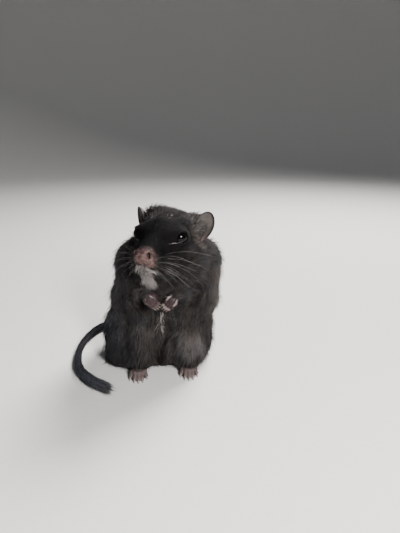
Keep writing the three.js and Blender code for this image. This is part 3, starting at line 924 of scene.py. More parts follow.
def hand_parts(side):
    """A hand's mass, its claws, its root and direction, and the lines of its fingers."""
    root = wrist(side)
    reach = TRUNK_TURN @ unit([-side * 0.66, -0.3, -0.68])
    back = TRUNK_TURN @ np.array([side * 0.2, -0.88, 0.42])
    back = unit(back - reach * (back @ reach))
    across = np.cross(reach, back) * side
    turn = np.column_stack([across, back, reach])

    def at(u, v, w):
        return root + reach * u + across * v + back * w

    masses = [
        limb(at(-1.2, 0, -1.0), at(0.6, 0, 0), 1.5, 1.8),
        ball(at(1.9, 0, 0.1), [3.0, 1.9, 2.7], turn),
        ball(at(2.4, -side * 0.4, -2.1), [3.3, 1.9, 2.7], turn),
    ]
    claws, bones = [], []
    for finger in range(4):
        spread = finger - 1.5
        long = 4.6 - 0.3 * spread * spread
        start = at(2.7, spread * 1.35, 0.7)
        end = at(3.4 + long * 0.8, spread * 1.15, -1.5)
        mass, claw = digit(start, end, -back, FINGER_RADIUS)
        masses.append(mass)
        claws.append(claw)
        bones.append([at(0.8, spread * 0.8, 0.8), start, end])
    return melt(0.2, *masses), claws, root, reach, bones


def foot_parts(side):
    """A foot's mass, its claws, its heel and direction."""
    heel = on_trunk(knee_across(side) + side * 1.5, -5, 2.3)
    ball_of_foot = on_trunk(knee_across(side) + side * 0.5, -27.5, 2)
    forward = unit(ball_of_foot - heel)
    across = unit([-forward[1], forward[0], 0])
    arch = mix(heel, ball_of_foot, 0.5) + [0, 0, 0.6]
    down = np.array([0, 0, -1.0])
    turn = np.column_stack([across, forward, [0, 0, 1]])
    masses = [
        limb(heel, arch, 2.0, 2.3),
        limb(arch, ball_of_foot, 2.3, 2.2),
        ball(mix(heel, ball_of_foot, 0.93), [3.5, 4.4, 2.3], turn),
    ]
    claws = []
    for toe in range(5):
        spread = toe - 2
        long = 7.4 - 0.75 * spread * spread
        start = ball_of_foot + across * spread * 1.25 - forward
        end = ball_of_foot + across * spread * 1.95 + forward * long
        end[2] = TOE_RADIUS
        mass, claw = digit(start, end, down, TOE_RADIUS)
        masses.append(mass)
        claws.append(claw)
    return melt(0.8, *masses), claws, heel, forward


HAND_STEP = 0.22
FOOT_STEP = 0.3
HAND_HAIR_RADIUS = 0.07


def boxed(low, high, step):
    return [spaced(low[i], high[i], step) for i in range(3)]


def build_hand(name, side):
    mass, claws, root, reach, bones = hand_parts(side)
    middle = root + reach * 3
    points, quads = netted(mass, boxed(middle - 7, middle + 7, HAND_STEP))
    out = slope_of(mass, points)
    ridge = smooth(np.minimum.reduce([from_line(points, bone) for bone in bones]), 1.0, 0.72)
    # Painted highlight: skin facing up and out is paler, as where light falls on it; the finger ridges are
    # paler in their own colour
    outer = out @ unit(TRUNK_TURN @ [side * 0.6, 0, 0.8])
    pale = np.maximum(0.65 * ridge, smooth(outer, 0.6, 0.95))
    # Painted light and shade: the left hand's pale is strong, and the right hand's is weak because it
    # stands in shade
    made = piece("paw_hand_" + name, points, quads, PAW, {"pale": pale * (0.5 + 0.35 * side)})
    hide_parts("hand_" + name)
    upper = np.where((outer > 0.55) & ((points - root) @ reach < 5))[0]
    hairs = []
    for index in random.choice(upper, 64 + 30 * side):
        way = out[index] * 0.3 + reach * 0.9 + random.normal(0, 0.15, 3)
        long = random.uniform(1.2, 2.4)
        root_place = points[index] - out[index] * 0.1
        hairs.append(hair_path(root_place, way, -0.15 * out[index], long, HAND_HAIR_RADIUS, 7))
    build_limb_fuzz("hand_fur_" + name, (points, quads, root), reach, 0.9, -1.2)
    return hairs, claws


def build_foot(name, side):
    mass, claws, heel, forward = foot_parts(side)
    grounded = lambda p: np.maximum(mass(p), 0.02 - p[:, 2])
    toes = heel + forward * 33
    low = np.minimum(heel, toes) - [7, 4, 0]
    high = np.maximum(heel, toes) + [7, 4, 0]
    low[2] = -0.3
    high[2] = 6
    points, quads = netted(grounded, boxed(low, high, FOOT_STEP))
    pale = 0.3 * smooth((points - heel) @ forward, 19, 30)
    made = piece("paw_foot_" + name, points, quads, PAW, {"pale": pale})
    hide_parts("foot_" + name)
    build_limb_fuzz("foot_fur_" + name, (points, quads, heel), forward, 29, 16)
    return claws


# Geometry Nodes: a round body along each path, as thick as the path's points say

def strand_tree():
    tree = bpy.data.node_groups.new("tapered_strands", "GeometryNodeTree")
    inputs = {"Paths": "Geometry", "Sides": "Int", "Thickness": "Float", "Unevenness": "Float"}
    for name, kind in {**inputs, "Material": "Material"}.items():
        tree.interface.new_socket(name, in_out="INPUT", socket_type="NodeSocket" + kind)
    tree.interface.new_socket("Strands", in_out="OUTPUT", socket_type="NodeSocketGeometry")

    def node(kind, inputs, output=0, **settings):
        made = tree.nodes.new(kind)
        for key, value in settings.items():
            setattr(made, key, value)
        for key, value in inputs.items():
            if isinstance(value, bpy.types.NodeSocket):
                tree.links.new(value, made.inputs[key])
            else:
                made.inputs[key].default_value = value
        return made.outputs[output]

    def maths(operation, a, b):
        return node("ShaderNodeMath", {0: a, 1: b}, operation=operation)

    given = tree.nodes.new("NodeGroupInput").outputs
    most = given["Unevenness"]
    curves = node("GeometryNodeMeshToCurve", {"Mesh": given["Paths"]})
    thick = node("GeometryNodeInputNamedAttribute", {"Name": "thick"}, data_type="FLOAT")
    spread = {2: maths("MULTIPLY", most, -1.0), 3: most, "Seed": 5}
    uneven = node("FunctionNodeRandomValue", spread, output=1, data_type="FLOAT")
    radius = maths("MULTIPLY", maths("MULTIPLY", thick, given["Thickness"]), maths("ADD", uneven, 1.0))
    circle = node("GeometryNodeCurvePrimitiveCircle", {"Resolution": given["Sides"], "Radius": 1.0})
    swept = {"Curve": curves, "Profile Curve": circle, "Scale": radius, "Fill Caps": True}
    smoothed = node("GeometryNodeSetShadeSmooth", {"Geometry": node("GeometryNodeCurveToMesh", swept)})
    real = node("GeometryNodeRealizeInstances", {"Geometry": smoothed})
    finished = node("GeometryNodeSetMaterial", {"Geometry": real, "Material": given["Material"]})
    tree.links.new(finished, tree.nodes.new("NodeGroupOutput").inputs["Strands"])
    return tree


STRANDS = strand_tree()


def strands(name, paths, material, sides=5, thickness=1.0, unevenness=0.1):
    """A mesh of tapered bodies from paths in millimetres, each a pair of points and radii."""
    places = np.concatenate([path for path, _ in paths]) * MM
    thick = np.concatenate([radii for _, radii in paths]) * MM
    along = np.concatenate([np.linspace(0, 1, len(path)) for path, _ in paths])
    edges = [(i, i + 1) for i in range(len(along) - 1) if along[i + 1] > 0]
    mesh = bpy.data.meshes.new(name + "_paths")
    mesh.from_pydata(places.tolist(), edges, [])
    add_values(mesh, {"thick": thick, "along": along})
    holder = linked(name + "_paths", mesh)
    modifier = holder.modifiers.new("strands", "NODES")
    modifier.node_group = STRANDS
    values = {"Sides": sides, "Thickness": thickness, "Unevenness": unevenness, "Material": material}
    for item in STRANDS.interface.items_tree:
        if item.name in values:
            modifier[item.identifier] = values[item.name]
    bpy.context.view_layer.update()
    evaluated = holder.evaluated_get(bpy.context.evaluated_depsgraph_get())
    result = bpy.data.meshes.new_from_object(evaluated)
    bpy.data.objects.remove(holder)
    made = linked(name, result)
    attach(made, "root")


def build_claws(name, claws, width):
    paths = [(claw, CLAW_TAPER) for claw in claws]
    strands(name, paths, HORN, sides=8, thickness=width, unevenness=0.0)


# Tail

TAIL_ROUTE = np.array([
    on_trunk(0, 9, 9),
    on_trunk(0, 17, 6.5),
    (-8, 25, 3.6),
    (-23, 27, 3),
    (-36, 18.5, 2.8),
    (-41.5, 2, 2.6),
    (-41, -13, 2.4),
    (-36.5, -27, 2.3),
    (-29.5, -36, 2.3),
    (-22.5, -41.5, 2.4),
])
TAIL_COAT = 0.75
BRUSH_FROM = 0.7


def smooth_path(route, steps):
    """A centripetal Catmull-Rom path through the route's points, evenly spaced along its length."""
    ends = [2 * route[0] - route[1], *route, 2 * route[-1] - route[-2]]
    dense = []
    for a, b, c, d in zip(ends, ends[1:], ends[2:], ends[3:]):
        ta = 0
        tb = ta + length_of(b - a) ** 0.5
        tc = tb + length_of(c - b) ** 0.5
        td = tc + length_of(d - c) ** 0.5
        t = np.linspace(tb, tc, 40, endpoint=False)[:, None]
        ab = mix(a, b, (t - ta) / (tb - ta))
        bc = mix(b, c, (t - tb) / (tc - tb))
        cd = mix(c, d, (t - tc) / (td - tc))
        abc = mix(ab, bc, (t - ta) / (tc - ta))
        bcd = mix(bc, cd, (t - tb) / (td - tb))
        dense.append(mix(abc, bcd, (t - tb) / (tc - tb)))
    dense = np.concatenate([*dense, route[-1][None]])
    run = np.concatenate([[0], np.cumsum(length_of(np.diff(dense, axis=0)))])
    even = np.linspace(0, run[-1], steps)
    return np.column_stack([np.interp(even, run, dense[:, i]) for i in range(3)])


def build_tail():
    """The tail's skin. Gives its points and quads, and for each point its normal, lie and place along."""
    sides = 14
    steps = 150
    path = smooth_path(TAIL_ROUTE, steps)
    share = np.linspace(0, 1, steps)
    radius = mix(TAIL_ROOT_RADIUS, TAIL_END_RADIUS, share ** 0.6) - TAIL_COAT
    radius = radius * np.sqrt(smooth(share, 1.003, 0.985)) + 0.02
    radius = radius * (1 + 0.02 * np.sin(share * 260))
    tangent = unit(np.gradient(path, axis=0))
    wide = unit(np.cross(tangent, [0, 0, 1]))
    deep = np.cross(wide, tangent)
    angle = np.arange(sides) * 2 * math.pi / sides
    out = wide[:, None] * np.cos(angle)[None, :, None] + deep[:, None] * np.sin(angle)[None, :, None]
    points = (path[:, None] + out * radius[:, None, None]).reshape(-1, 3)
    points[:, 2] = np.maximum(points[:, 2], 0.3)
    quads = ring_quads(sides, steps - 1)
    values = {"white": np.zeros(len(points)), "bare": np.full(len(points), 0.12)}
    made = piece("tail_skin", points, quads, SKIN, values)
    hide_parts("tail_root", "tail_middle", "tail_end")
    lie = np.repeat(tangent, sides, axis=0)
    return points, quads, out.reshape(-1, 3), lie, np.repeat(share, sides)


# The lie of the coat: the hairs point along chains of places

def lie_lines():
    chains = [
        [on_head(0, -28, -3), on_head(0, -10, 9), on_head(0, 12, 8)],
        [on_head(0, -25, -10), on_trunk(-1, -27, 52)],
        [on_head(0, 13, 4), on_trunk(0, 12, 52), on_trunk(0, 17, 30), on_trunk(0, 18, 6)],
        [on_trunk(-1, -27, 52), on_trunk(-2, -28, 36), on_trunk(0, -24, 10)],
    ]
    for side in SIDES.values():
        chains += [
            [on_head(side * 4, -27, -4), on_head(side * 11, -5, -3), on_head(side * 12, 13, -8)],
            [on_head(side * 5, -12, -10), on_trunk(side * 12, -20, 56)],
            [on_trunk(side * 22, -5, 62), on_trunk(side * 27, -6, 38), on_trunk(side * 26, 0, 8)],
            [on_trunk(side * 18, -14, 56), on_trunk(side * 20, -21, 40)],
            [arm_bend(side) + [0, -4, 0], wrist(side) + [0, -4, 0]],
            [on_trunk(side * 24, -8, 30), on_trunk(side * 20, -27, 18)],
            [on_trunk(side * 18, -29, 18), on_trunk(side * 16, -27, 4)],
        ]
    return [pair for chain in chains for pair in zip(chain, chain[1:])]


LIE_LINES = lie_lines()


def lie_at(p, normals):
    """The direction along the skin in which the hairs lie."""
    total = np.zeros_like(p)
    for start, end in LIE_LINES:
        gap = beside(p, start, end)[1]
        total += unit(end - start) / ((gap * gap + 12) ** 1.5)[:, None]
    return unit(flattened(unit(total), normals))


# Coat

PATCH = 0.0015
LOCK_SIZE = 2.0
GUARD_SHARE = 0.08
GUARD_LENGTH = 1.35
GUARD_LIFT = 0.3
GUARD_WIDTH = 0.7
WISP_SHARE = 0.36
WISP_REACH = 1.1


def unwrapped(points, quads):
    """Flat places of the corners of these faces, on an unwrap of their own shape."""
    used, index = np.unique(quads, return_inverse=True)
    mesh = bpy.data.meshes.new("unwrap")
    mesh.from_pydata((points[used] * MM).tolist(), [], index.reshape(quads.shape).tolist())
    holder = linked("unwrap", mesh)
    bpy.context.view_layer.objects.active = holder
    holder.select_set(True)
    bpy.ops.object.mode_set(mode="EDIT")
    bpy.ops.mesh.select_all(action="SELECT")
    bpy.ops.uv.smart_project(angle_limit=math.radians(70), island_margin=0.003)
    bpy.ops.object.mode_set(mode="OBJECT")
    flat = np.empty(len(mesh.loops) * 2, np.float32)
    mesh.uv_layers[0].data.foreach_get("uv", flat)
    bpy.data.objects.remove(holder)
    return flat.reshape(-1, 4, 2).astype(float)


def quad_slants(points, quads):
    """The normals of quads, each as long as twice the quad's area."""
    a, b, c, d = (points[quads[:, i]] for i in range(4))
    return np.cross(c - a, d - b)


def strewn(points, quads, density):
    """Faces and places in them for roots, as many as the density in each face asks for."""
    wanted = np.cumsum(length_of(quad_slants(points, quads)) / 2 * density)
    count = int(wanted[-1])
    marks = np.arange(count) + random.uniform(0, 1, count)
    face = np.minimum(np.searchsorted(wanted, marks), len(quads) - 1)
    u, v = random.uniform(0, 1, (2, count))
    weights = np.column_stack([(1 - u) * (1 - v), u * (1 - v), u * v, (1 - u) * v])
    return face, weights


def between(corner_values, weights):
    """Values at places in faces, from the values at the faces' corners."""
    return (corner_values * weights[:, :, None]).sum(1)


def locked(roots, size):
    """The middle of the lock that each root belongs to."""
    cell = np.floor(roots / size + 0.35 * np.column_stack([waves(roots, 3, 21 + i) for i in range(3)]))
    key = (cell - cell.min(0)) @ [1.0, 1000.0, 1000000.0]
    _, lock = np.unique(key, return_inverse=True)
    count = np.bincount(lock)
    return np.column_stack([np.bincount(lock, roots[:, i]) / count for i in range(3)])[lock]


# A spike's corners are 0 to 2 at its root, 3 to 5 at its middle and 6 at its tip
TUFT_FACES = np.array([
    (0, 2, 1), (0, 1, 4), (0, 4, 3), (1, 2, 5), (1, 5, 4),
    (2, 0, 3), (2, 3, 5), (3, 4, 6), (4, 5, 6), (5, 3, 6),
])
TUFT_PATCH = PATCH * np.array([(-1, -1), (0, -1), (1, -1), (-1, 0), (0, 0), (1, 0), (0, 1)])
ROOT_SINK = 0.15


def raised(lie, normals, lift):
    """The lie of hairs, lifted off the skin by an angle."""
    return unit(lie * np.cos(lift)[:, None] + normals * np.sin(lift)[:, None])


def tufts(name, roots, normals, lie, look, flat, gather=0.45):
    """Solid spikes over a surface. Each leaves it at its lift and bends down to lie along it."""
    long, wide, lift, white, shade = look
    count = len(roots)
    across = np.cross(normals, lie)
    first = raised(lie, normals, lift)
    later = raised(lie, normals, lift * 0.35)
    pull = flattened((locked(roots, LOCK_SIZE) - roots) * np.reshape(gather, (-1, 1)), normals)
    base = roots - normals * ROOT_SINK
    middle = base + first * (long * 0.5)[:, None] + pull * 0.4
    tip = middle + later * (long * 0.5)[:, None] + pull * 0.6
    over = np.cross(first, across)
    places = np.empty((count, 7, 3))
    for corner in range(3):
        angle = math.pi / 2 + corner * 2 * math.pi / 3
        ring = across * math.cos(angle) + over * (-0.6 * math.sin(angle))
        places[:, corner] = base + ring * (wide * 0.5)[:, None]
        places[:, corner + 3] = middle + ring * (wide * 0.42)[:, None]
    places[:, 6] = tip
    places[:, :, 2] = np.maximum(places[:, :, 2], 0.04)
    faces = (TUFT_FACES[None] + 7 * np.arange(count)[:, None, None]).reshape(-1, 3)
    tip_value = np.tile([0, 0, 0, 0.5, 0.5, 0.5, 1], count)
    values = {"white": np.repeat(white, 7), "shade": np.repeat(shade, 7), "tip": tip_value}
    spread = (np.clip(flat, PATCH, 1 - PATCH)[:, None] + TUFT_PATCH[None]).reshape(-1, 2)
    piece(name, places.reshape(-1, 3), faces, FUR, values, spread)


def handness(p):
    """One at the wrists, nothing away from them."""
    hand_gap = np.minimum(*[length_of(p - wrist(side)) for side in SIDES.values()])
    return smooth(hand_gap, 13, 3)


def coat_look(p):
    """Length, width and lift of the hairs at places on the skin, and how many there are per square mm."""
    h = to_head(p)
    face = headness(h) * smooth(forwardness(h), 0.02, 0.92)
    near_eye = headness(h) * smooth(eye_gap(h), 4.5, 0.8)
    arm = handness(p)
    chin = whiteness(p)
    foot = smooth(p[:, 2], 9, 2) * smooth(p[:, 1], -18, -27)
    bare = bareness(p)
    long = mix(BODY_HAIR, FACE_HAIR, face ** 0.7)
    for share, short in ((near_eye * 0.8, 1.0), (arm, 1.8), (chin, 2.2), (foot, 2.4), (bare * 0.9, 0.7)):
        long = mix(long, short, share)
    by_ear = smooth(length_of((np.abs(h) - EAR_PLACE) * [1, 1, 0.6]), 9, 3) * headness(h)
    tucked = 1.2 + 1.5 * smooth(h[:, 0], 2, -6)
    long = long + tucked * by_ear * (1 - near_eye) * (1 - bare)
    temple = smooth(length_of(h - [-11, 3, 9.5]), 8, 3.5)
    long = long + 0.5 * temple
    wide = mix(HAIR_WIDTH, FINE_WIDTH, np.maximum.reduce([face, arm * 0.8, chin]))
    crown = headness(h) * smooth(h[:, 2], 6, 10)
    lift = mix(0.44, 0.34, face) + 0.1 * crown + 0.25 * by_ear
    density = mix(mix(6.6, 17, face), 15, np.maximum(arm, chin))
    return long, wide, lift, density * (1 - 0.75 * bare)


def coat_parts():
    """The middle of each coat piece by the piece's name, with a left and a right one where x isn't 0."""
    rows = [
        ("muzzle", on_head, 0, -26, -4),
        ("brow", on_head, 0, -10, 10),
        ("crown", on_head, 0, 8, 11),
        ("cheek", on_head, 12, -6, -4),
        ("throat", on_head, 0, -12, -14),
        ("nape", on_trunk, 12, 8, 60),
        ("shoulder", on_trunk, 24, -8, 52),
        ("chest", on_trunk, 0, -27, 44),
        ("belly", on_trunk, 0, -26, 24),
        ("arm", on_trunk, 16, -24, 42),
        ("flank", on_trunk, 28, -4, 30),
        ("back", on_trunk, 12, 14, 38),
        ("rump", on_trunk, 13, 16, 14),
        ("haunch", on_trunk, 26, -12, 12),
        ("knee", on_trunk, 15, -30, 12),
    ]
    parts = {}
    for name, on, x, y, z in rows:
        sides = {"_" + side_name: side for side_name, side in SIDES.items()} if x else {"": 1}
        for ending, side in sides.items():
            parts[name + ending] = on(side * x, y, z)
    return parts


def build_coat(points, quads):
    normals = slope_of(skin, points)
    middles = points[quads].mean(1)
    parts = coat_parts()
    places = np.array(list(parts.values()))
    nearest = np.argmin(length_of(middles[:, None] - places[None]), axis=1)
    density = coat_look(middles)[3] * smooth(middles[:, 2], 0.2, 1.2)
    for number, name in enumerate(parts):
        chosen = np.where(nearest == number)[0]
        part = quads[chosen]
        flat = unwrapped(points, part)
        face, weights = strewn(points, part, density[chosen])
        roots = between(points[part[face]], weights)
        out = unit(between(normals[part[face]], weights))
        grow_coat("coat_" + name, roots, out, between(flat[face], weights))


def grow_coat(name, roots, normals, flat):
    """Hairs of varied length, lift and shade at roots on the skin, but not over the eyes."""
    h = to_head(roots)
    above = smooth(h[:, 2], EYE_PLACE[2] + 0.6, EYE_PLACE[2] + 1.6)
    kept = eye_gap(h) > mix(LID_THICK + 0.12, 0.25, above)
    roots, normals, flat = roots[kept], normals[kept], flat[kept]
    count = len(roots)
    lie = lie_at(roots, normals)
    sway = 0.28 * waves(roots, 6, 31) + random.normal(0, 0.16, count)
    lie = unit(lie + np.cross(normals, lie) * sway[:, None])
    long, wide, lift, _ = coat_look(roots)
    long = long * (1 + 0.16 * waves(roots, 4, 32)) * random.uniform(0.78, 1.15, count)
    lift = lift * (1 + 0.2 * waves(roots, 2.6, 33)) + random.normal(0, 0.07, count)
    guard = random.uniform(0, 1, count) < GUARD_SHARE
    on_face = headness(to_head(roots))
    long = np.where(guard, long * (GUARD_LENGTH - 0.4 * on_face), long)
    lift = np.where(guard, lift + GUARD_LIFT - 0.12 * on_face, lift)
    wide = np.where(guard, wide * GUARD_WIDTH, wide) * random.uniform(0.8, 1.15, count)
    white = (whiteness(roots) > random.uniform(0.15, 0.95, count)).astype(float)
    wisp = (from_line(roots, WISP) < WISP_REACH) & (random.uniform(0, 1, count) < WISP_SHARE)
    white = np.maximum(white, wisp)
    vary = 1 + 0.22 * waves(roots, 3.5, 34) + random.normal(0, 0.2, count)
    vary = vary + 0.35 * waves(roots, 1.2, 35) * on_face
    shade = np.clip(tone_and_painted_light(roots) * (vary + 0.3 * (guard & (white < 0.5))), 0, 1)
    bright = 0.4 + 0.6 * smooth(length_of(roots - CHIN_LINE[-1]), 13, 2) + 0.4 * wisp
    bright = bright + random.normal(0, 0.28, count)
    shade = np.where(white > 0.5, np.clip(bright, 0, 1), shade)
    gather = mix(0.3, 0.1, np.maximum(on_face, handness(roots)))
    look = (long, wide, np.clip(lift, 0.08, 1.0), white, shade)
    tufts(name, roots, normals, lie, look, flat, gather=gather)


def build_short_hair(name, points, quads, way, density, low, shade):
    """Short hairs over thin parts, the longer the nearer to their root, where low is one."""
    normals = unit(quad_slants(points, quads) + 1e-9)
    face, weights = strewn(points, quads, density)
    roots = between(points[quads[face]], weights)
    out = normals[face]
    count = len(roots)
    lie = way + 0.5 * out + random.normal(0, 0.15, (count, 3))
    lie = unit(flattened(lie, out))
    long = mix(0.7, 2.2, low[face]) * random.uniform(0.7, 1.2, count)
    lift = np.clip(0.35 + random.normal(0, 0.1, count), 0.1, 0.8)
    wide = 0.1 + 0.06 * low[face]
    shades = np.clip(shade + random.normal(0, 0.15, count), 0, 1)
    flat = between(unwrapped(points, quads)[face], weights)
    look = (long, wide, lift, np.zeros(count), shades)
    tufts(name, roots, out, lie, look, flat, gather=0.1)


def build_ear_fuzz(name, points, quads, upward):
    height = (points[quads].mean(1) - points.mean(0)) @ upward / (EAR_LENGTH / 2)
    density = mix(2.5, 5, smooth(height, -0.3, -0.8))
    low = smooth(height, -0.3, -0.95)
    build_short_hair("ear_fuzz_" + name, points, quads, upward, density, low, 1)


def build_limb_fuzz(name, shape, way, bare_from, full_to):
    """Fur that thins out over the upper side of a hand or foot, from its root on."""
    points, quads, root = shape
    middles = points[quads].mean(1)
    low = smooth((middles - root) @ way, bare_from, full_to)
    upper = smooth(unit(quad_slants(points, quads) + 1e-9)[:, 2], -0.1, 0.4)
    build_short_hair(name, points, quads, way, 13 * low * upper, low, 0.3)


def build_tail_coat(points, quads, normals, lie, share):
    middle_share = share[quads].mean(1)
    flat = unwrapped(points, quads)
    stretches = (("tail_coat", 0.02, BRUSH_FROM, 8), ("tail_brush", BRUSH_FROM, 1.01, 15))
    for name, low, high, density in stretches:
        chosen = np.where((middle_share >= low) & (middle_share < high))[0]
        part = quads[chosen]
        face, weights = strewn(points, part, np.full(len(part), density))
        roots = between(points[part[face]], weights)
        out = unit(between(normals[part[face]], weights))
        along = unit(between(lie[part[face]], weights))
        at = (share[part[face]] * weights).sum(1)
        count = len(roots)
        brush = smooth(at, BRUSH_FROM - 0.03, 0.92)
        long = mix(2.3, 9.0, brush) * random.uniform(0.75, 1.15, count)
        lift = mix(0.26, 0.2, brush) + random.normal(0, 0.06, count)
        wide = mix(0.24, 0.26, brush) * random.uniform(0.8, 1.1, count)
        shade = np.clip(0.4 + random.normal(0, 0.2, count), 0, 1)
        sway = random.normal(0, 0.12, count)
        along = unit(flattened(along, out) + np.cross(out, along) * sway[:, None])
        look = (long, wide, np.clip(lift, 0.05, 0.6), np.zeros(count), shade)
        tufts(name, roots, out, along, look, between(flat[chosen][face], weights))


# Whiskers and other stiff hairs. Their radii at the root are less that of the tip

TIP_RADIUS = 0.012


def hair_path(root, way, bend, long, radius, steps=14):
    """A hair that starts along one way and curves off towards another, and its radii."""
    share = np.linspace(0, 1, steps)[:, None]
    path = root + unit(way) * long * share + np.asarray(bend, float) * long * share ** 2
    path[:, 2] = np.maximum(path[:, 2], 0.2)
    return path, radius * (1 - share[:, 0]) ** 0.8 + TIP_RADIUS


def head_way(x, y, z):
    return HEAD_TURN @ unit([x, y, z])


HEAD_CORE = np.array([0, -8, -1.0])
WHISKER_ROWS = 5
WHISKER_COLUMNS = 4
WHISKER_RADIUS = 0.03
LIP_HAIRS = 14
LIP_HAIR_RADIUS = 0.024
LID_HAIR_RADIUS = 0.01
BROW_HAIRS = 6
BROW_HAIR_RADIUS = 0.014


def head_root(place, sink):
    """Where the line from the head's core to a place comes out of the head, sunk in by an amount."""
    return on_head(*on_head_skin(HEAD_CORE, place - HEAD_CORE, sink))


def build_whiskers():
    paths = []
    for side in SIDES.values():
        for row in range(WHISKER_ROWS):
            for column in range(WHISKER_COLUMNS):
                back = column / (WHISKER_COLUMNS - 1)
                down = row / (WHISKER_ROWS - 1)
                place = np.array([side * mix(3.6, 6, back), mix(-24, -17, back), mix(-2.4, -8.5, down)])
                root = head_root(place, 0.4)
                rise = mix(0.4, -0.4, down) + random.normal(0, 0.12)
                way = head_way(side, mix(-0.35, 0.25, back) + random.normal(0, 0.1), rise)
                bend = head_way(side * 0.05, 0.5, -1) * random.uniform(0.3, 0.6) * mix(1, 2, down)
                long = mix(6, 23, back ** 0.8) * random.uniform(0.7, 1.1) * mix(1, 0.5, down)
                paths.append(hair_path(root, way, bend, long, WHISKER_RADIUS))
    strands("whiskers", paths, WHISKER)


def build_bristles(paths):
    """Short pale hairs besides those given: on the upper lips, beside the lower lids and on the brow."""
    for side in SIDES.values():
        for hair in range(LIP_HAIRS):
            share = hair / (LIP_HAIRS - 1)
            place = np.array([side * mix(1.5, 3.5, share), mix(-25.5, -21, share), mix(-6, -8.4, share)])
            root = head_root(place, 0.3)
            way = head_way(side * random.uniform(0.2, 1.4), mix(-0.5, 0.3, share), random.uniform(-1, -0.3))
            curl = head_way(0, 0.5, -0.6) * 0.3
            paths.append(hair_path(root, way, curl, random.uniform(1.8, 3.4), LIP_HAIR_RADIUS))
        centre, turn = EYES[side]
        for hair in range(5 + 3 * side):
            across = side * mix(-6.2, -1.0, hair / 7) + random.normal(0, 0.2)
            fall = mix(-1.8, -2.4, hair / 7) + random.normal(0, 0.12)
            root = head_root(centre + turn @ np.array([across, fall, EYE_SINK]), 0.2)
            way = HEAD_TURN @ turn @ np.array([side, random.normal(0.12, 0.12), 0.5])
            paths.append(hair_path(root, way, way * 0.1, random.uniform(1.3, 2.3), LID_HAIR_RADIUS, 6))
        for _ in range(BROW_HAIRS):
            place = np.array([side * random.uniform(0, 8), random.uniform(-9, -2), 11])
            root = head_root(place, -0.5)
            way = head_way(random.normal(0, 0.3), 0.8, 0.5)
            paths.append(hair_path(root, way, way * 0.1, random.uniform(0.7, 1.3), BROW_HAIR_RADIUS, 6))
    strands("pale_bristles", paths, BRISTLE, sides=4)


# Assembly

skin_points, skin_quads = build_skin()
build_eyes()
hand_hairs = []
for side_name, side_sign in SIDES.items():
    build_ear_fuzz(side_name, *build_ear(side_name, side_sign))
    hairs, hand_claws = build_hand(side_name, side_sign)
    hand_hairs += hairs
    foot_claws = build_foot(side_name, side_sign)
    build_claws("claws_hand_" + side_name, hand_claws, HAND_CLAW_WIDTH)
    build_claws("claws_foot_" + side_name, foot_claws, FOOT_CLAW_WIDTH)
build_whiskers()
build_bristles(hand_hairs)
build_tail_coat(*build_tail())
build_coat(skin_points, skin_quads)


# Stage, light and camera: places and sizes are in metres, and the glint's distance is in millimetres

PICTURE_WIDTH = 400
PICTURE_HEIGHT = 533
FOCAL_PIXELS = 400
SENSOR = 36
CAMERA_PLACE = Vector((0.0245, -0.204, 0.114))
CAMERA_PITCH = 18
GLINT_PIXEL = (181.2, 236.7)
GLINT_DISTANCE = 360
GLINT_SIZE = 0.085
GLINT_POWER = 3.0
GLINT_COLOUR = (1.0, 0.99, 0.98)
BODY_MIDDLE = (0.0, -0.01, 0.04)
WINDOW_PLACE = (0.27, 0.36, 0.58)
WINDOW_SIZE = 0.3
WINDOW_POWER = 12.5
WINDOW_COLOUR = (1.0, 0.985, 0.97)
ROOM_COLOUR = (0.7, 0.77, 0.88, 1)
ROOM_STRENGTH = 0.15
BOWL_SIDES = 96


def build_camera():
    data = bpy.data.cameras.new("camera")
    data.sensor_fit = "VERTICAL"
    data.sensor_height = SENSOR
    data.lens = SENSOR * (FOCAL_PIXELS / PICTURE_HEIGHT)
    data.clip_start = 0.005
    camera = linked("camera", data)
    camera.location = CAMERA_PLACE
    camera.rotation_euler = (math.radians(90 - CAMERA_PITCH), 0, 0)
    bpy.context.scene.camera = camera


def lamp(name, place, target, size, power, colour):
    data = bpy.data.lights.new(name, "AREA")
    data.shape = "DISK"
    data.size = size
    data.energy = power
    data.color = colour
    made = linked(name, data)
    made.location = place
    made.rotation_euler = (Vector(target) - Vector(place)).to_track_quat("-Z", "Y").to_euler()


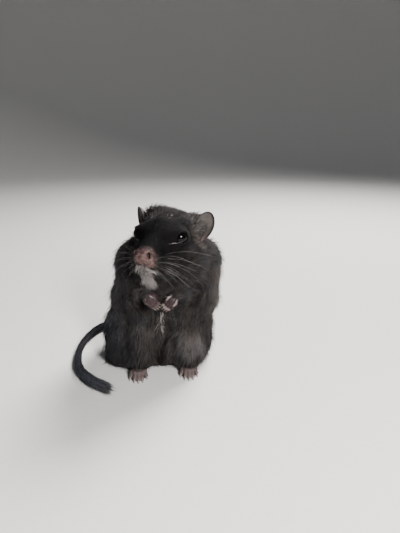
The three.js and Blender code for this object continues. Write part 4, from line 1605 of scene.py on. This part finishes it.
def glint_place(distance):
    """Where a lamp stands whose reflection the camera sees at the glint's pixel on the left eye."""
    right = (GLINT_PIXEL[0] - PICTURE_WIDTH / 2) / FOCAL_PIXELS
    up = (PICTURE_HEIGHT / 2 - GLINT_PIXEL[1]) / FOCAL_PIXELS
    tilt = math.radians(CAMERA_PITCH)
    way = unit([right, math.cos(tilt) + up * math.sin(tilt), up * math.cos(tilt) - math.sin(tilt)])
    origin = np.array(CAMERA_PLACE) / MM
    centre = on_head(*EYES[1][0])
    toward = centre - origin
    nearest = toward @ way
    inside = EYE_RADIUS ** 2 - (toward @ toward - nearest ** 2)
    at = origin + way * (nearest - math.sqrt(max(inside, 0)))
    normal = unit(at - centre)
    bounced = way - 2 * (way @ normal) * normal
    return (at + bounced * distance) * MM, at * MM


def build_backdrop():
    """A pale floor that curves up into a round wall far behind."""
    shader = Shader("pale_floor", Roughness=0.9, Specular_IOR_Level=0.1)
    grain = shader.noise(3.0, 3.0)
    colour = shader.blend((0.66, 0.65, 0.63), (0.71, 0.7, 0.68), grain)
    material = shader.finish(Base_Color=colour)
    profile = [(0.0, 0.0), (0.5, 0.0), (1.0, 0.0)]
    profile += [(1 + math.sin(t), 1 - math.cos(t)) for t in np.linspace(0.1, math.pi / 2, 14)]
    profile.append((2.0, 2.2))
    corners = [(0, 0, 0)]
    for reach, high in profile[1:]:
        for step in range(BOWL_SIDES):
            angle = step * 2 * math.pi / BOWL_SIDES
            corners.append((reach * math.cos(angle), reach * math.sin(angle), high))
    faces = [(0, 1 + i, 1 + (i + 1) % BOWL_SIDES) for i in range(BOWL_SIDES)]
    faces += (1 + ring_quads(BOWL_SIDES, len(profile) - 2)).tolist()
    mesh = bpy.data.meshes.new("backdrop")
    mesh.from_pydata(corners, [], faces)
    mesh.polygons.foreach_set("use_smooth", [True] * len(mesh.polygons))
    mesh.materials.append(material)
    backdrop = linked("backdrop", mesh)


def build_stage():
    build_backdrop()
    world = bpy.data.worlds.new("studio")
    world.use_nodes = True
    background = world.node_tree.nodes["Background"]
    background.inputs["Color"].default_value = ROOM_COLOUR
    background.inputs["Strength"].default_value = ROOM_STRENGTH
    bpy.context.scene.world = world
    lamp("window", WINDOW_PLACE, BODY_MIDDLE, WINDOW_SIZE, WINDOW_POWER, WINDOW_COLOUR)
    place, target = glint_place(GLINT_DISTANCE)
    lamp("glint", place, target, GLINT_SIZE, GLINT_POWER, GLINT_COLOUR)


build_camera()
build_stage()
